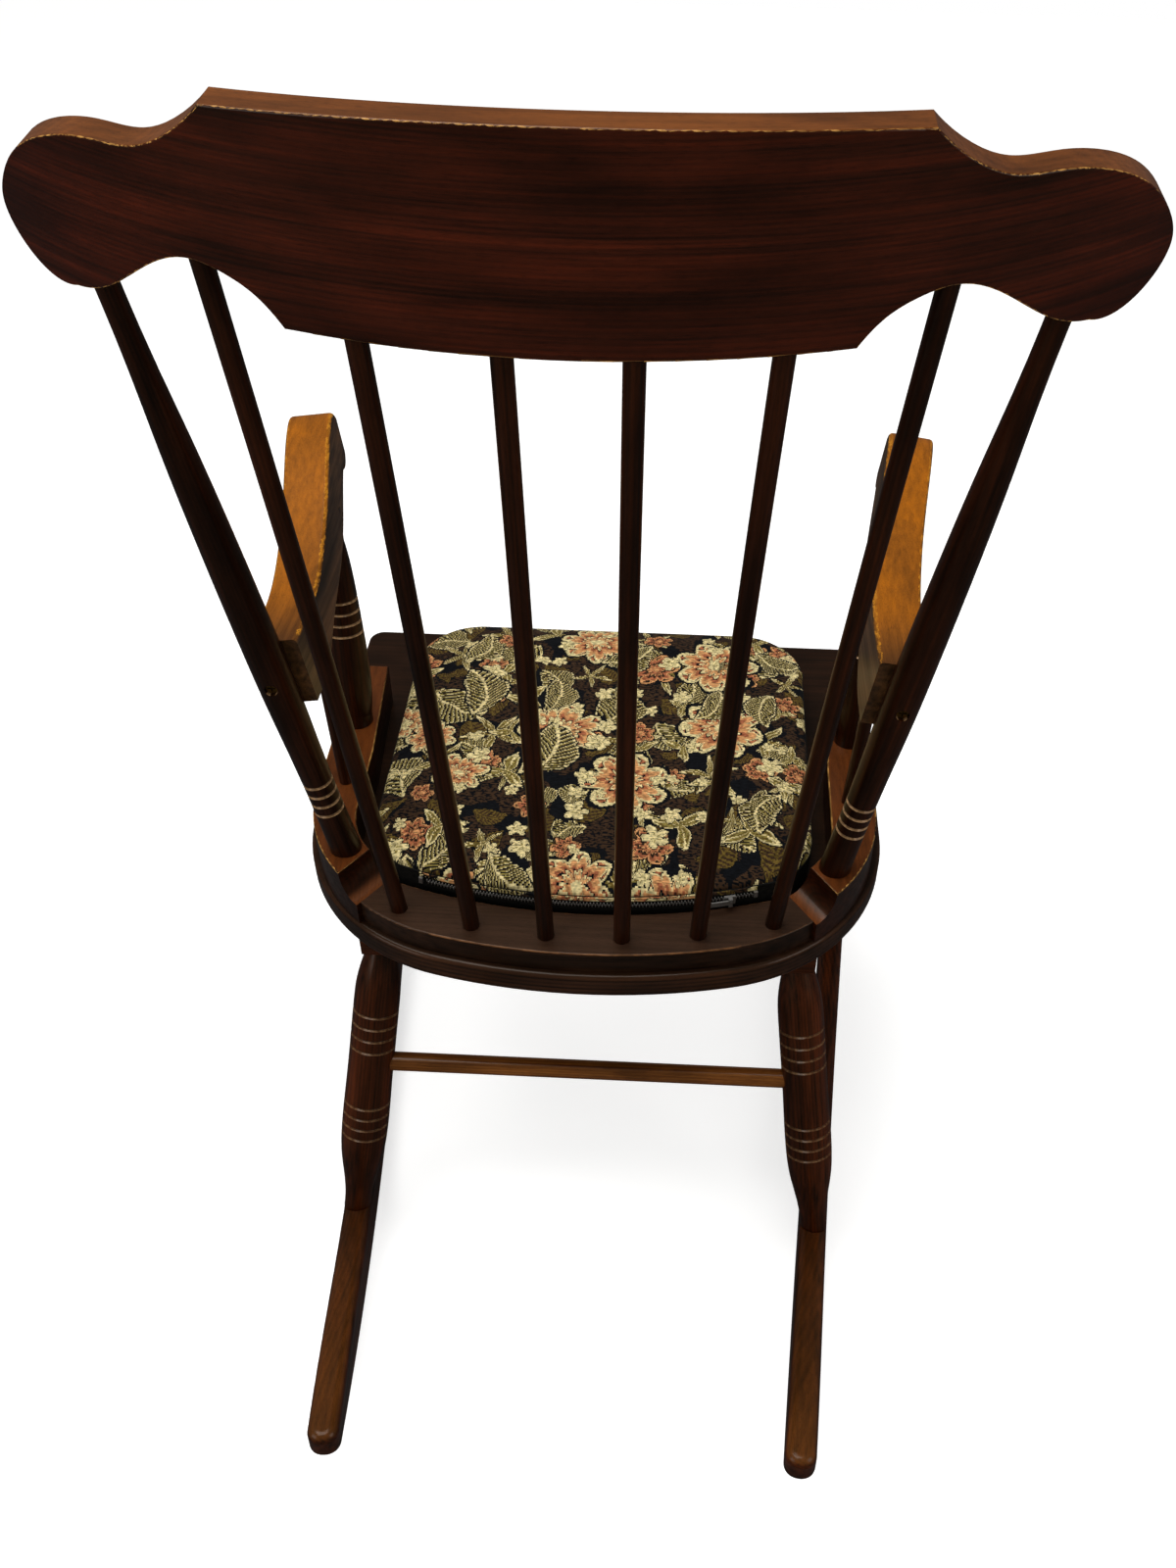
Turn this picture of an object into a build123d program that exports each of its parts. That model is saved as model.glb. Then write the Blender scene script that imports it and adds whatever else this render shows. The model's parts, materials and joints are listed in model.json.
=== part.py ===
# Comb back rocking chair with turned legs, sawn arms and a loose zipped seat cushion.
# Millimetres, +Z up.  The sitter faces -Y and the sitter's left hand is on +X.
# The origin is on the floor in the middle of the rockers' length.

from build123d import *
from math import atan2, cos, degrees, radians, sin, sqrt, tan
import os

os.makedirs("parts", exist_ok=True)

# ---------------------------------------------------------------- clearances
SOCKET_CLEARANCE = 0.1       # radial room round a glued tenon
LOOSE_CLEARANCE = 0.4        # room round the cushion and the zip's moving pieces

# ---------------------------------------------------------------- seat
SEAT_TILT = 5.0              # the seat falls this many degrees towards the back
SEAT_ORIGIN_Y = -78.0        # the seat's own origin, on top of the board
SEAT_ORIGIN_Z = 367.5
BOARD_THICKNESS = 22.0
BOARD_HALF_WIDTH = 237.0
BOARD_FRONT = -203.0         # front edge, measured along the board
BOARD_REAR = 223.5           # rear edge in the middle
BOARD_REAR_RADIUS = 502.0    # long flat curve at the back
BOARD_CORNER_RADIUS = 158.0  # quicker curve between the side and the back
BOARD_FRONT_CORNER = 14.0
BOARD_NOSE = 4.0             # rounding of the board's edge
UPSTAND = 20.0               # height of the rear rim over the board
UPSTAND_SETBACK = 6.0        # the rim stands back from the board's edge
RIM_DEPTH = 41.5
BLOCK_HEIGHT = 40.0
BLOCK_SETBACK = 9.0
BLOCK_CORNER_RADIUS = 140.0  # the block comes close to the board's edge at the corner
BLOCK_INNER_RADIUS = 70.0
BLOCK_REAR_SETBACK = 3.0
BLOCK_WIDTH = 37.0
BLOCK_FRONT = 107.0          # from the board's front edge to the block
BLOCK_FLARE = 7.0            # the block gets narrower by this much at its front
BLOCK_FLARE_RUN = 130.0
BLOCK_END_IN = 66.0          # slanted joint between block and rim, from the board's side
BLOCK_END_UP = 54.5          # and from the board's rear edge
BLOCK_END_ANGLE = 55.0

# ---------------------------------------------------------------- back
CREST_RAKE = 7.8
ARRIS = 1.2                  # small rounding of sawn edges
CREST_RISE = 482.5           # crest's foot line over the seat's origin
CREST_BACK_OUT = 55.3        # the crest's back at its foot, behind the board's rear edge
CREST_THICKNESS = 22.0
CREST_BACK_RADIUS = 500.0
CREST_HEIGHT = 109.0         # ends of the top edge, over the crest's foot line
CREST_CROWN = 7.0            # the top edge rises by this much to its middle
CREST_DROP = 2.0             # lower edge of the middle part, under the foot line
CREST_FLAT_HALF = 177.5      # half length of the top edge
CREST_LOWER_IN = 26.5        # the straight lower edge ends this much earlier
EAR_REACH = 154.5            # from the end of the top edge to the ear's tip
EAR_TOP_OUT = 95.5
EAR_TOP_DOWN = 36.0
EAR_TIP_DOWN = 92.0
EAR_LOW_OUT = 108.5
EAR_LOW = -15.5              # lowest point of the ear, over the foot line
NOTCH_OUT = 21.5             # where the outermost spindle goes in
NOTCH_HEIGHT = 26.0
SPINDLE_RADIUS = 6.4
SPINDLE_INSET = 17.0         # from the rim's outer face to the spindles' feet
SPINDLE_END_GAP = 1.8        # the spindles' feet are spaced over the rim and this much more
SPINDLE_HEADS_X = (35.0, 114.0, CREST_FLAT_HALF + NOTCH_OUT)
SPINDLE_HEADS_H = (-CREST_DROP, -CREST_DROP, NOTCH_HEIGHT)
SPINDLE_FOOT_DEPTH = 14.0
SPINDLE_HEAD_DEPTH = 18.0
POST_FOOT_IN = 45.8          # post's foot from the board's side
POST_FOOT_UP = 89.0          # and from the board's rear edge
POST_HEAD_OUT = 93.5         # post's head beyond the end of the top edge
POST_HEAD_H = -11.0
POST_FOOT_DEPTH = 26.0
POST_HEAD_DEPTH = 24.0
POST_FOOT_RADIUS = 12.2
POST_SWELL_RADIUS = 13.2
POST_NECK_RADIUS = 7.5

# ---------------------------------------------------------------- arms
ARM_RISE = 169.5             # underside of the arm's rear end over the seat's origin
ARM_REAR_DEPTH = 55.0
ARM_CLIMB = 61.5             # the arm's top climbs by this much to its front
ARM_NOSE_Y = -199.0
ARM_NOSE_ROUND = 12.0        # rounding of the nose, seen from above
ARM_ROLL = 8.0               # the arm leans outwards like the sticks that carry it
ARM_INNER_IN = 34.0          # arm's inner face, from the board's side
ARM_WIDTH = 36.5
ARM_FLARE = ((110, 0), (0, 0), (-80, 3), (-140, 8.5), (ARM_NOSE_Y - 1, 15.5))
ARM_ROUND = 3.5
ARM_SEAT_DEPTH = 8.6         # the post's axis lies this far behind the arm's end
ARM_SCREW_UP = 25.0          # over the underside of the arm's rear end
ARM_SCREW_RADIUS = 2.4
ARM_SCREW_HEAD_RADIUS = 4.3
ARM_SCREW_HEAD_HEIGHT = 3.0
ARM_SCREW_BORE_DEPTH = 6.0
ARM_SCREW_REACH = 30.0
SCREW_SLOT = 1.2
SUPPORT_FOOT_IN = 26.0
SUPPORT_FOOT_AT = -20.0
SUPPORT_HEAD_OUT = 16.0      # end of the support, out from the arm's inner face
SUPPORT_HEAD_Y = -110.0
SUPPORT_HEAD_UP = 64.0       # over the underside of the arm's rear end
SUPPORT_FOOT_RADIUS = 13.0
SUPPORT_SWELL_RADIUS = 16.0
SUPPORT_NECK_RADIUS = 9.5
SUPPORT_NECK_LENGTH = 28.0
ARM_SPINDLE_FOOT_IN = 31.0
ARM_SPINDLE_FOOT_AT = 58.0
ARM_SPINDLE_HEAD_Y = -25.0
ARM_SPINDLE_HEAD_UP = 35.0
ARM_SPINDLE_RADIUS = 5.5
ARM_STICK_DEPTH = 14.0       # how far the sticks go down into the block

# ---------------------------------------------------------------- base
BEARER_THICKNESS = 26.0
BEARER_DEPTH = 42.0
BEARER_CHAMFER = 3.0
REAR_BEARER_IN = 55.0        # end of the bearer from the board's side
REAR_BEARER_UP = 73.5        # middle of the bearer from the board's rear edge
FRONT_BEARER_IN = 29.0
FRONT_BEARER_UP = 73.0       # middle of the bearer from the board's front edge
LEG_HEAD_IN = 13.0           # leg's head from the bearer's end
REAR_LEG_FOOT_Y = 139.0
FRONT_LEG_FOOT_Y = -246.0
LEG_TENON_RADIUS = 7.0
LEG_HEAD_TENON = 20.0
LEG_FOOT_TENON = 20.0
LEG_FOOT_RADIUS = 11.4
LEG_BODY_RADIUS = 19.6
LEG_NECK_RADIUS = 11.0
STRETCHER_RADIUS = 8.0
STRETCHER_UP = 0.558         # height of the stretcher as a part of the leg's length
ROCKER_RADIUS = 1300.0
ROCKER_CONTACT_Y = -33.0     # under the chair's centre of mass
ROCKER_DEPTH = 42.0
ROCKER_THICKNESS = 24.0
ROCKER_HALF_LENGTH = 378.0
ROCKER_TIP_DEPTH = 25.0
ROCKER_TIP_RUN = 150.0       # length over which the rocker thins down to its tip
ROCKER_TOE = 5.75            # the rockers come closer together towards the back
ROCKER_OUT = 32.0            # rocker beyond the rear leg's head
ROCKER_ROUND = 7.0
ROCKER_TIP_ROUND = 11.0      # rounding of the tips, seen from above
LEG_SPOT_DEPTH = 1.2         # flat seat for the leg, cut into the rocker's top

# ---------------------------------------------------------------- turned rings
RING_DEPTH = 1.3             # V shaped grooves, twice as wide as deep
RINGS_IN_A_SET = 4
POST_RING_PITCH = 9.6
SUPPORT_RING_PITCH = 9.8
LEG_LOWER_RING_PITCH = 10.5
LEG_UPPER_RING_PITCH = 11.5

# ---------------------------------------------------------------- cushion
CUSHION_SIDE_GAP = 12.0      # between the cushion and the side blocks
CUSHION_REAR_GAP = 4.0       # between the cushion and the rear rim
CUSHION_FRONT = 27.0         # from the board's front edge
CUSHION_REAR_CORNER = 55.0
CUSHION_FRONT_CORNER = 62.0
CUSHION_HEIGHT = 44.0
CUSHION_ROUND = 9.0
ZIP_CLEARANCE = 0.2          # between the cushion, the zip's tape and its chain
ZIP_LEVEL = 28.0             # centre of the zip over the board
ZIP_HALF_ANGLE = 16.5
ZIP_TAPE_HEIGHT = 13.0
ZIP_TAPE_THICKNESS = 0.8
ZIP_CHAIN_HEIGHT = 4.6
ZIP_CHAIN_THICKNESS = 1.6
ZIP_STOP_LENGTH = 3.0
ZIP_STOP_PROUD = 0.5
SLIDER_AT = -14.0            # angle of the slider along the zip, in degrees
SLIDER_LENGTH = 9.0
SLIDER_HEIGHT = 8.0
SLIDER_THICKNESS = 2.0
SLIDER_LUG = 1.4             # thickness of the two lugs that hold the tab's pin
TAB_LENGTH = 20.0
TAB_THICKNESS = 1.2
TAB_WALL = 0.8               # wall of the tab's eye
TAB_GAP = 0.3                # between the tab's eye and the slider
TAB_PIN_RADIUS = 0.8
TAB_PIN_PLAY = 0.08          # running clearance of the tab on its pin

# ---------------------------------------------------------------- wood screws
WOOD_SCREW_RADIUS = 2.2
WOOD_SCREW_HEAD_RADIUS = 4.5
WOOD_SCREW_HEAD_HEIGHT = 3.0
BLOCK_SCREW_IN = 26.0
BLOCK_SCREWS_AT = (-62.0, 18.0, 88.0)
BLOCK_SCREW_REACH = 20.0     # into the block
BEARER_SCREW_PITCH = 110.0
BEARER_SCREW_REACH = 16.0    # into the board

# ---------------------------------------------------------------- sizes that follow
REAR_CENTRE = BOARD_REAR - BOARD_REAR_RADIUS  # centre of the back's long curve
rim_outer_radius = BOARD_REAR_RADIUS - UPSTAND_SETBACK
rim_inner_radius = rim_outer_radius - RIM_DEPTH
block_end = (BOARD_HALF_WIDTH - BLOCK_END_IN, BOARD_REAR - BLOCK_END_UP)
inner_setback = BLOCK_SETBACK + BLOCK_WIDTH
crest_foot_z = SEAT_ORIGIN_Z + CREST_RISE
arm_low = SEAT_ORIGIN_Z + ARM_RISE
arm_rear_top = arm_low + ARM_REAR_DEPTH
arm_nose_top = arm_rear_top + ARM_CLIMB
arm_inner_x = BOARD_HALF_WIDTH - ARM_INNER_IN
rear_bearer_half = BOARD_HALF_WIDTH - REAR_BEARER_IN
front_bearer_half = BOARD_HALF_WIDTH - FRONT_BEARER_IN
rear_bearer_at = BOARD_REAR - REAR_BEARER_UP
front_bearer_at = BOARD_FRONT + FRONT_BEARER_UP
rocker_x = rear_bearer_half - LEG_HEAD_IN + ROCKER_OUT
cushion_rear_radius = rim_inner_radius - CUSHION_REAR_GAP
spindle_pitch = (block_end[0] + SPINDLE_END_GAP) / 3
spindle_feet_x = [(step + 0.5) * spindle_pitch for step in range(3)]

# ---------------------------------------------------------------- planes and points
seat_normal = Vector(0, sin(radians(SEAT_TILT)), cos(radians(SEAT_TILT)))
seat_plane = Plane(
    origin=(0, SEAT_ORIGIN_Y, SEAT_ORIGIN_Z), x_dir=(1, 0, 0), z_dir=seat_normal
)
seat_normal_axis = Axis((0, 0, 0), tuple(seat_normal))
crest_up = Vector(0, sin(radians(CREST_RAKE)), cos(radians(CREST_RAKE)))
crest_rearward = Vector(0, cos(radians(CREST_RAKE)), -sin(radians(CREST_RAKE)))
board_rear_y = SEAT_ORIGIN_Y + BOARD_REAR * cos(radians(SEAT_TILT))
crest_foot = Vector(0, board_rear_y + CREST_BACK_OUT, crest_foot_z)


def on_seat(x, y, height):
    """World point of a place given along and over the seat board."""
    return seat_plane.from_local_coords(Vector(x, y, height))


def in_crest(x, height):
    """World point in the middle of the crest's thickness."""
    middle_radius = CREST_BACK_RADIUS - CREST_THICKNESS / 2
    back = sqrt(middle_radius**2 - x**2) - CREST_BACK_RADIUS
    return crest_foot + Vector(x, 0, 0) + crest_rearward * back + crest_up * height


def axis_plane(start, end):
    """Plane at start whose normal points to end, for work on a slanted axis."""
    direction = (end - start).normalized()
    across = Vector(0, 1, 0).cross(direction).normalized()
    return Plane(origin=start, x_dir=across, z_dir=direction)


def stick(start, end, radius, before, after):
    """Plain dowel on the line from start to end, longer by before and after."""
    length = (end - start).length
    with BuildPart() as dowel:
        with Locations(axis_plane(start, end).location):
            with Locations((0, 0, -before)):
                Cylinder(
                    radius,
                    before + length + after,
                    align=(Align.CENTER, Align.CENTER, Align.MIN),
                )
    return dowel.part


def turned(start, end, stations, ring_sets, foot_depth, head_depth):
    """Turned piece on the line from start to end.

    stations are (distance, radius) pairs, ring_sets are the (distance, pitch) of each
    set of grooves, the depths are the lengths of the plain round ends beyond them.
    """
    low, low_radius = stations[0]
    high, high_radius = stations[-1]
    with BuildPart() as piece:
        with BuildSketch(Plane.XZ):
            with BuildLine():
                outline = Spline(*[(radius, at) for at, radius in stations])
                Polyline(
                    (low_radius, low),
                    (low_radius, low - foot_depth),
                    (0, low - foot_depth),
                    (0, high + head_depth),
                    (high_radius, high + head_depth),
                    (high_radius, high),
                )
            make_face()
        revolve(axis=Axis.Z)
        with BuildSketch(Plane.XZ):
            for at, pitch in ring_sets:
                for ring in range(RINGS_IN_A_SET):
                    level = at + ring * pitch
                    radius = (outline @ fraction_at(outline, level)).X
                    with Locations((radius, level)):
                        Rectangle(RING_DEPTH * sqrt(2), RING_DEPTH * sqrt(2), rotation=45)
        revolve(axis=Axis.Z, mode=Mode.SUBTRACT)
    with BuildPart() as placed:
        with Locations(axis_plane(start, end).location):
            add(piece.part)
    return placed.part


def fraction_at(outline, level):
    """Where along the turned outline the height is level."""
    low, high = 0.0, 1.0
    for _ in range(30):
        middle = (low + high) / 2
        if (outline @ middle).Y < level:
            low = middle
        else:
            high = middle
    return (low + high) / 2


def mirrored(part):
    """The same piece for the other side of the chair."""
    with BuildPart() as other:
        add(mirror(part, about=Plane.YZ, mode=Mode.PRIVATE))
    return other.part


def cut(part, *tools):
    """The part with each tool taken away."""
    with BuildPart() as result:
        add(part)
        for tool in tools:
            add(tool, mode=Mode.SUBTRACT)
    return result.part


def save(part, name):
    """Name the piece and write its file."""
    part.label = name
    export_step(part, "parts/" + name + ".step")


# ---------------------------------------------------------------- seat outlines
def d_outline(half_width, corner_radius, rear_radius, front, front_corner):
    """D shaped outline: straight front and sides, quick corners, long rear curve."""
    corner_x = half_width - corner_radius
    corner_y = REAR_CENTRE + sqrt((rear_radius - corner_radius) ** 2 - corner_x**2)
    meet_angle = atan2(corner_y - REAR_CENTRE, corner_x)
    half_angle = meet_angle / 2
    with BuildSketch() as outline:
        with BuildLine():
            for side in (1, -1):
                side_end = (side * half_width, corner_y)
                bend = (
                    side * (corner_x + corner_radius * cos(half_angle)),
                    corner_y + corner_radius * sin(half_angle),
                )
                meet = (
                    side * (corner_x + corner_radius * cos(meet_angle)),
                    corner_y + corner_radius * sin(meet_angle),
                )
                Line((side * half_width, front), side_end)
                ThreePointArc(side_end, bend, meet)
            rear_middle = (0, REAR_CENTRE + rear_radius)
            ThreePointArc(meet, rear_middle, (-meet[0], meet[1]))
            Line((half_width, front), (-half_width, front))
        make_face()
        if front_corner:
            fillet(outline.vertices().sort_by(Axis.Y)[:2], front_corner)
    return outline.sketch


def board_outline(setback):
    """The board's outline drawn in by setback."""
    return d_outline(
        BOARD_HALF_WIDTH - setback,
        BOARD_CORNER_RADIUS - setback,
        BOARD_REAR_RADIUS - setback,
        BOARD_FRONT + setback,
        0,
    )


def block_outline(setback, corner_radius, rear_setback):
    """Outer or inner outline of the two side blocks."""
    rear_radius = BOARD_REAR_RADIUS - rear_setback
    return d_outline(BOARD_HALF_WIDTH - setback, corner_radius, rear_radius, BOARD_FRONT, 0)


# ---------------------------------------------------------------- back posts and sticks
post_foot = on_seat(BOARD_HALF_WIDTH - POST_FOOT_IN, BOARD_REAR - POST_FOOT_UP, BLOCK_HEIGHT)
post_head = in_crest(CREST_FLAT_HALF + POST_HEAD_OUT, POST_HEAD_H)
post_length = (post_head - post_foot).length
post_stations = [
    (0, POST_FOOT_RADIUS),
    (40, POST_FOOT_RADIUS - 0.7),
    (80, POST_FOOT_RADIUS - 0.7),
    (150, POST_SWELL_RADIUS - 0.2),
    (220, POST_SWELL_RADIUS),
    (290, POST_SWELL_RADIUS - 0.8),
    (358, POST_SWELL_RADIUS - 2.6),
    (410, POST_NECK_RADIUS + 0.9),
    (post_length - 12, POST_NECK_RADIUS),
]
post_blank = turned(
    post_foot,
    post_head,
    post_stations,
    [(44, POST_RING_PITCH)],
    POST_FOOT_DEPTH,
    POST_HEAD_DEPTH + 12,
)
post_direction = (post_head - post_foot).normalized()
post_foot_socket = stick(
    post_foot, post_head, POST_FOOT_RADIUS + SOCKET_CLEARANCE, POST_FOOT_DEPTH, -post_length + 30
)
post_head_socket = stick(
    post_foot,
    post_head,
    POST_NECK_RADIUS + SOCKET_CLEARANCE,
    -post_length + 20,
    POST_HEAD_DEPTH,
)

spindles = []
spindle_sockets = []
for foot_x, head_x, head_h in zip(spindle_feet_x, SPINDLE_HEADS_X, SPINDLE_HEADS_H):
    foot_y = REAR_CENTRE + sqrt((rim_outer_radius - SPINDLE_INSET) ** 2 - foot_x**2)
    foot = on_seat(foot_x, foot_y, UPSTAND)
    head = in_crest(head_x, head_h)
    spindles.append(stick(foot, head, SPINDLE_RADIUS, SPINDLE_FOOT_DEPTH, SPINDLE_HEAD_DEPTH))
    spindle_sockets.append(
        stick(
            foot,
            head,
            SPINDLE_RADIUS + SOCKET_CLEARANCE,
            SPINDLE_FOOT_DEPTH,
            SPINDLE_HEAD_DEPTH,
        )
    )

# ---------------------------------------------------------------- crest rail
with BuildPart() as crest_shell:
    with BuildSketch(
        Plane(
            origin=crest_foot - crest_rearward * CREST_BACK_RADIUS,
            x_dir=(1, 0, 0),
            z_dir=crest_up,
        )
    ):
        Circle(CREST_BACK_RADIUS)
        Circle(CREST_BACK_RADIUS - CREST_THICKNESS, mode=Mode.SUBTRACT)
    extrude(amount=2 * CREST_HEIGHT, both=True)

with BuildPart() as crest_blank:
    with BuildSketch(Plane(origin=crest_foot, x_dir=(1, 0, 0), z_dir=-crest_rearward)):
        with BuildLine():
            ThreePointArc(
                (-CREST_FLAT_HALF, CREST_HEIGHT),
                (0, CREST_HEIGHT + CREST_CROWN),
                (CREST_FLAT_HALF, CREST_HEIGHT),
            )
            for side in (1, -1):
                flat = CREST_FLAT_HALF
                top_corner = (side * flat, CREST_HEIGHT)
                ear_low = (side * (flat + EAR_LOW_OUT), EAR_LOW)
                notch_x = flat + NOTCH_OUT
                tip_x = flat + EAR_REACH
                tip_h = CREST_HEIGHT - EAR_TIP_DOWN
                low_corner = (side * (flat - CREST_LOWER_IN), -CREST_DROP)
                Spline(
                    top_corner,
                    (side * (flat + 22.5), CREST_HEIGHT - 18.5),
                    (side * (flat + 46), CREST_HEIGHT - 29),
                    (side * (flat + EAR_TOP_OUT - 22), CREST_HEIGHT - EAR_TOP_DOWN + 4.5),
                    (side * (flat + EAR_TOP_OUT), CREST_HEIGHT - EAR_TOP_DOWN),
                    (side * (flat + EAR_TOP_OUT + 31), CREST_HEIGHT - EAR_TOP_DOWN - 15.5),
                    (side * (tip_x - 6), tip_h + 16),
                    (side * tip_x, tip_h),
                    (side * (tip_x - 11), tip_h - 24),
                    ear_low,
                )
                Spline(
                    ear_low,
                    (side * (flat + EAR_LOW_OUT - 21), EAR_LOW + 6.5),
                    (side * (flat + EAR_LOW_OUT - 48), EAR_LOW + 24.5),
                    (side * notch_x, NOTCH_HEIGHT),
                    (side * (notch_x - 21), NOTCH_HEIGHT - 5),
                    low_corner,
                    tangents=((-side, 0.12), (-side * 0.7, -1)),
                )
                Line(low_corner, (0, -CREST_DROP))
        make_face()
    extrude(amount=CREST_BACK_RADIUS, both=True)
    add(crest_shell.part, mode=Mode.INTERSECT)
    fillet(crest_blank.edges().filter_by(lambda edge: edge.length > CREST_THICKNESS + 3), ARRIS)

crest_sockets = spindle_sockets + [post_head_socket]
crest_sockets = crest_sockets + [mirrored(socket) for socket in crest_sockets]
crest_rail = cut(crest_blank.part, *crest_sockets)

# ---------------------------------------------------------------- seat board
with BuildPart() as board_blank:
    with BuildSketch(seat_plane):
        add(board_outline(0))
    extrude(amount=-BOARD_THICKNESS)
    corner_edges = board_blank.edges().filter_by(
        lambda edge: abs((edge @ 1 - edge @ 0).dot(seat_normal)) > BOARD_THICKNESS - 0.01
    )
    fillet(corner_edges.sort_by(Axis.Y)[:2], BOARD_FRONT_CORNER)
    flat_faces = board_blank.faces().filter_by(
        lambda face: abs(face.normal_at().dot(seat_normal)) > 0.99
    )
    fillet(flat_faces.edges(), BOARD_NOSE)

# ---------------------------------------------------------------- rear rim
with BuildPart() as rim_blank:
    with BuildSketch(seat_plane) as rim_sketch:
        add(board_outline(UPSTAND_SETBACK))
        with Locations((0, REAR_CENTRE)):
            Circle(rim_inner_radius, mode=Mode.SUBTRACT)
        with Locations(block_end):
            Rectangle(
                4 * BOARD_HALF_WIDTH,
                4 * BOARD_HALF_WIDTH,
                rotation=BLOCK_END_ANGLE,
                align=(Align.CENTER, Align.MIN),
                mode=Mode.INTERSECT,
            )
        with Locations((-block_end[0], block_end[1])):
            Rectangle(
                4 * BOARD_HALF_WIDTH,
                4 * BOARD_HALF_WIDTH,
                rotation=-BLOCK_END_ANGLE,
                align=(Align.CENTER, Align.MIN),
                mode=Mode.INTERSECT,
            )
    extrude(amount=UPSTAND)
    rim_top = rim_blank.faces().sort_by(seat_normal_axis)[-1]
    fillet(rim_top.edges().filter_by(lambda edge: edge.length > 2 * RIM_DEPTH), ARRIS)

# ---------------------------------------------------------------- side blocks
block_front = BOARD_FRONT + BLOCK_FRONT
block_inner_x = BOARD_HALF_WIDTH - inner_setback
with BuildPart() as block_blank:
    with BuildSketch(seat_plane):
        add(block_outline(BLOCK_SETBACK, BLOCK_CORNER_RADIUS, BLOCK_REAR_SETBACK))
        add(block_outline(inner_setback, BLOCK_INNER_RADIUS, inner_setback), mode=Mode.SUBTRACT)
        with Locations((0, block_front)):
            Rectangle(
                2 * BOARD_HALF_WIDTH,
                2 * BOARD_HALF_WIDTH,
                align=(Align.MIN, Align.MIN),
                mode=Mode.INTERSECT,
            )
        with Locations(block_end):
            Rectangle(
                4 * BOARD_HALF_WIDTH,
                4 * BOARD_HALF_WIDTH,
                rotation=BLOCK_END_ANGLE,
                align=(Align.CENTER, Align.MAX),
                mode=Mode.INTERSECT,
            )
        with BuildLine():
            Polyline(
                (block_inner_x - 1, block_front - 1),
                (block_inner_x + BLOCK_FLARE, block_front - 1),
                (block_inner_x - 1, block_front + BLOCK_FLARE_RUN),
                close=True,
            )
        make_face(mode=Mode.SUBTRACT)
    extrude(amount=BLOCK_HEIGHT)
    with Locations(
        Plane(
            origin=on_seat(block_end[0], block_end[1], BLOCK_HEIGHT),
            x_dir=seat_normal,
            z_dir=seat_plane.x_dir * cos(radians(BLOCK_END_ANGLE))
            + seat_plane.y_dir * sin(radians(BLOCK_END_ANGLE)),
        ).location
    ):
        Cylinder(BLOCK_HEIGHT - UPSTAND, 160, mode=Mode.SUBTRACT)
    block_top = block_blank.faces().sort_by(seat_normal_axis)[-1]
    fillet(block_top.edges(), ARRIS)

# ---------------------------------------------------------------- arms
with BuildPart() as arm_blank:
    with BuildSketch(Plane.YZ):
        with BuildLine():
            Spline(
                (110, arm_rear_top),
                (60, arm_rear_top),
                (0, arm_rear_top + 3),
                (-43, arm_rear_top + 16),
                (-83, arm_rear_top + 32),
                (ARM_NOSE_Y + 72, arm_nose_top - 11),
                (ARM_NOSE_Y + 35, arm_nose_top - 1),
                (ARM_NOSE_Y + 15, arm_nose_top - 2),
                (ARM_NOSE_Y + 3, arm_nose_top - 14),
                (ARM_NOSE_Y, arm_nose_top - 30),
                (ARM_NOSE_Y + 8, arm_nose_top - 43),
                (ARM_NOSE_Y + 18, arm_nose_top - 48),
            )
            Polyline(
                (ARM_NOSE_Y + 18, arm_nose_top - 48),
                (ARM_NOSE_Y + 25, arm_nose_top - 48),
                (ARM_NOSE_Y + 25, arm_nose_top - 41),
            )
            Spline(
                (ARM_NOSE_Y + 25, arm_nose_top - 41),
                (ARM_NOSE_Y + 55, arm_nose_top - 51),
                (ARM_NOSE_Y + 95, arm_nose_top - 69),
                (-55, arm_low + 32),
                (-16, arm_low + 20),
                (22, arm_low + 4),
                (60, arm_low),
                (110, arm_low),
            )
            Line((110, arm_low), (110, arm_rear_top))
        make_face()
    extrude(amount=arm_inner_x + 2 * ARM_WIDTH)
    with BuildSketch(Plane.XY) as arm_plan:
        with BuildLine():
            inner = [(arm_inner_x + flare, y) for y, flare in ARM_FLARE]
            outer = [(x + ARM_WIDTH, y) for x, y in inner]
            Spline(*inner)
            Spline(*outer)
            Line(inner[0], outer[0])
            Line(inner[-1], outer[-1])
        make_face()
        fillet(arm_plan.vertices().sort_by(Axis.Y)[:2], ARM_NOSE_ROUND)
    extrude(amount=2 * arm_nose_top, mode=Mode.INTERSECT)
    lengthwise = arm_blank.edges().filter_by(lambda edge: edge.bounding_box().size.Y > 20)
    fillet(lengthwise.sort_by(Axis.Z)[2:], ARM_ROUND)
arm_body = arm_blank.part.rotate(Axis((arm_inner_x, 0, arm_rear_top), (0, 1, 0)), ARM_ROLL)

post_at_arm = post_foot + post_direction * ((arm_low + ARM_SCREW_UP - post_foot.Z) / post_direction.Z)
arm_forward = Vector(1, 0, 0).cross(post_direction).normalized()
arm_end_plane = Plane(
    origin=post_at_arm + arm_forward * ARM_SEAT_DEPTH, x_dir=(1, 0, 0), z_dir=-arm_forward
)
with BuildPart() as behind_arm:
    with Locations(arm_end_plane.location):
        Box(300, 300, 200, align=(Align.CENTER, Align.CENTER, Align.MIN))

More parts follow.
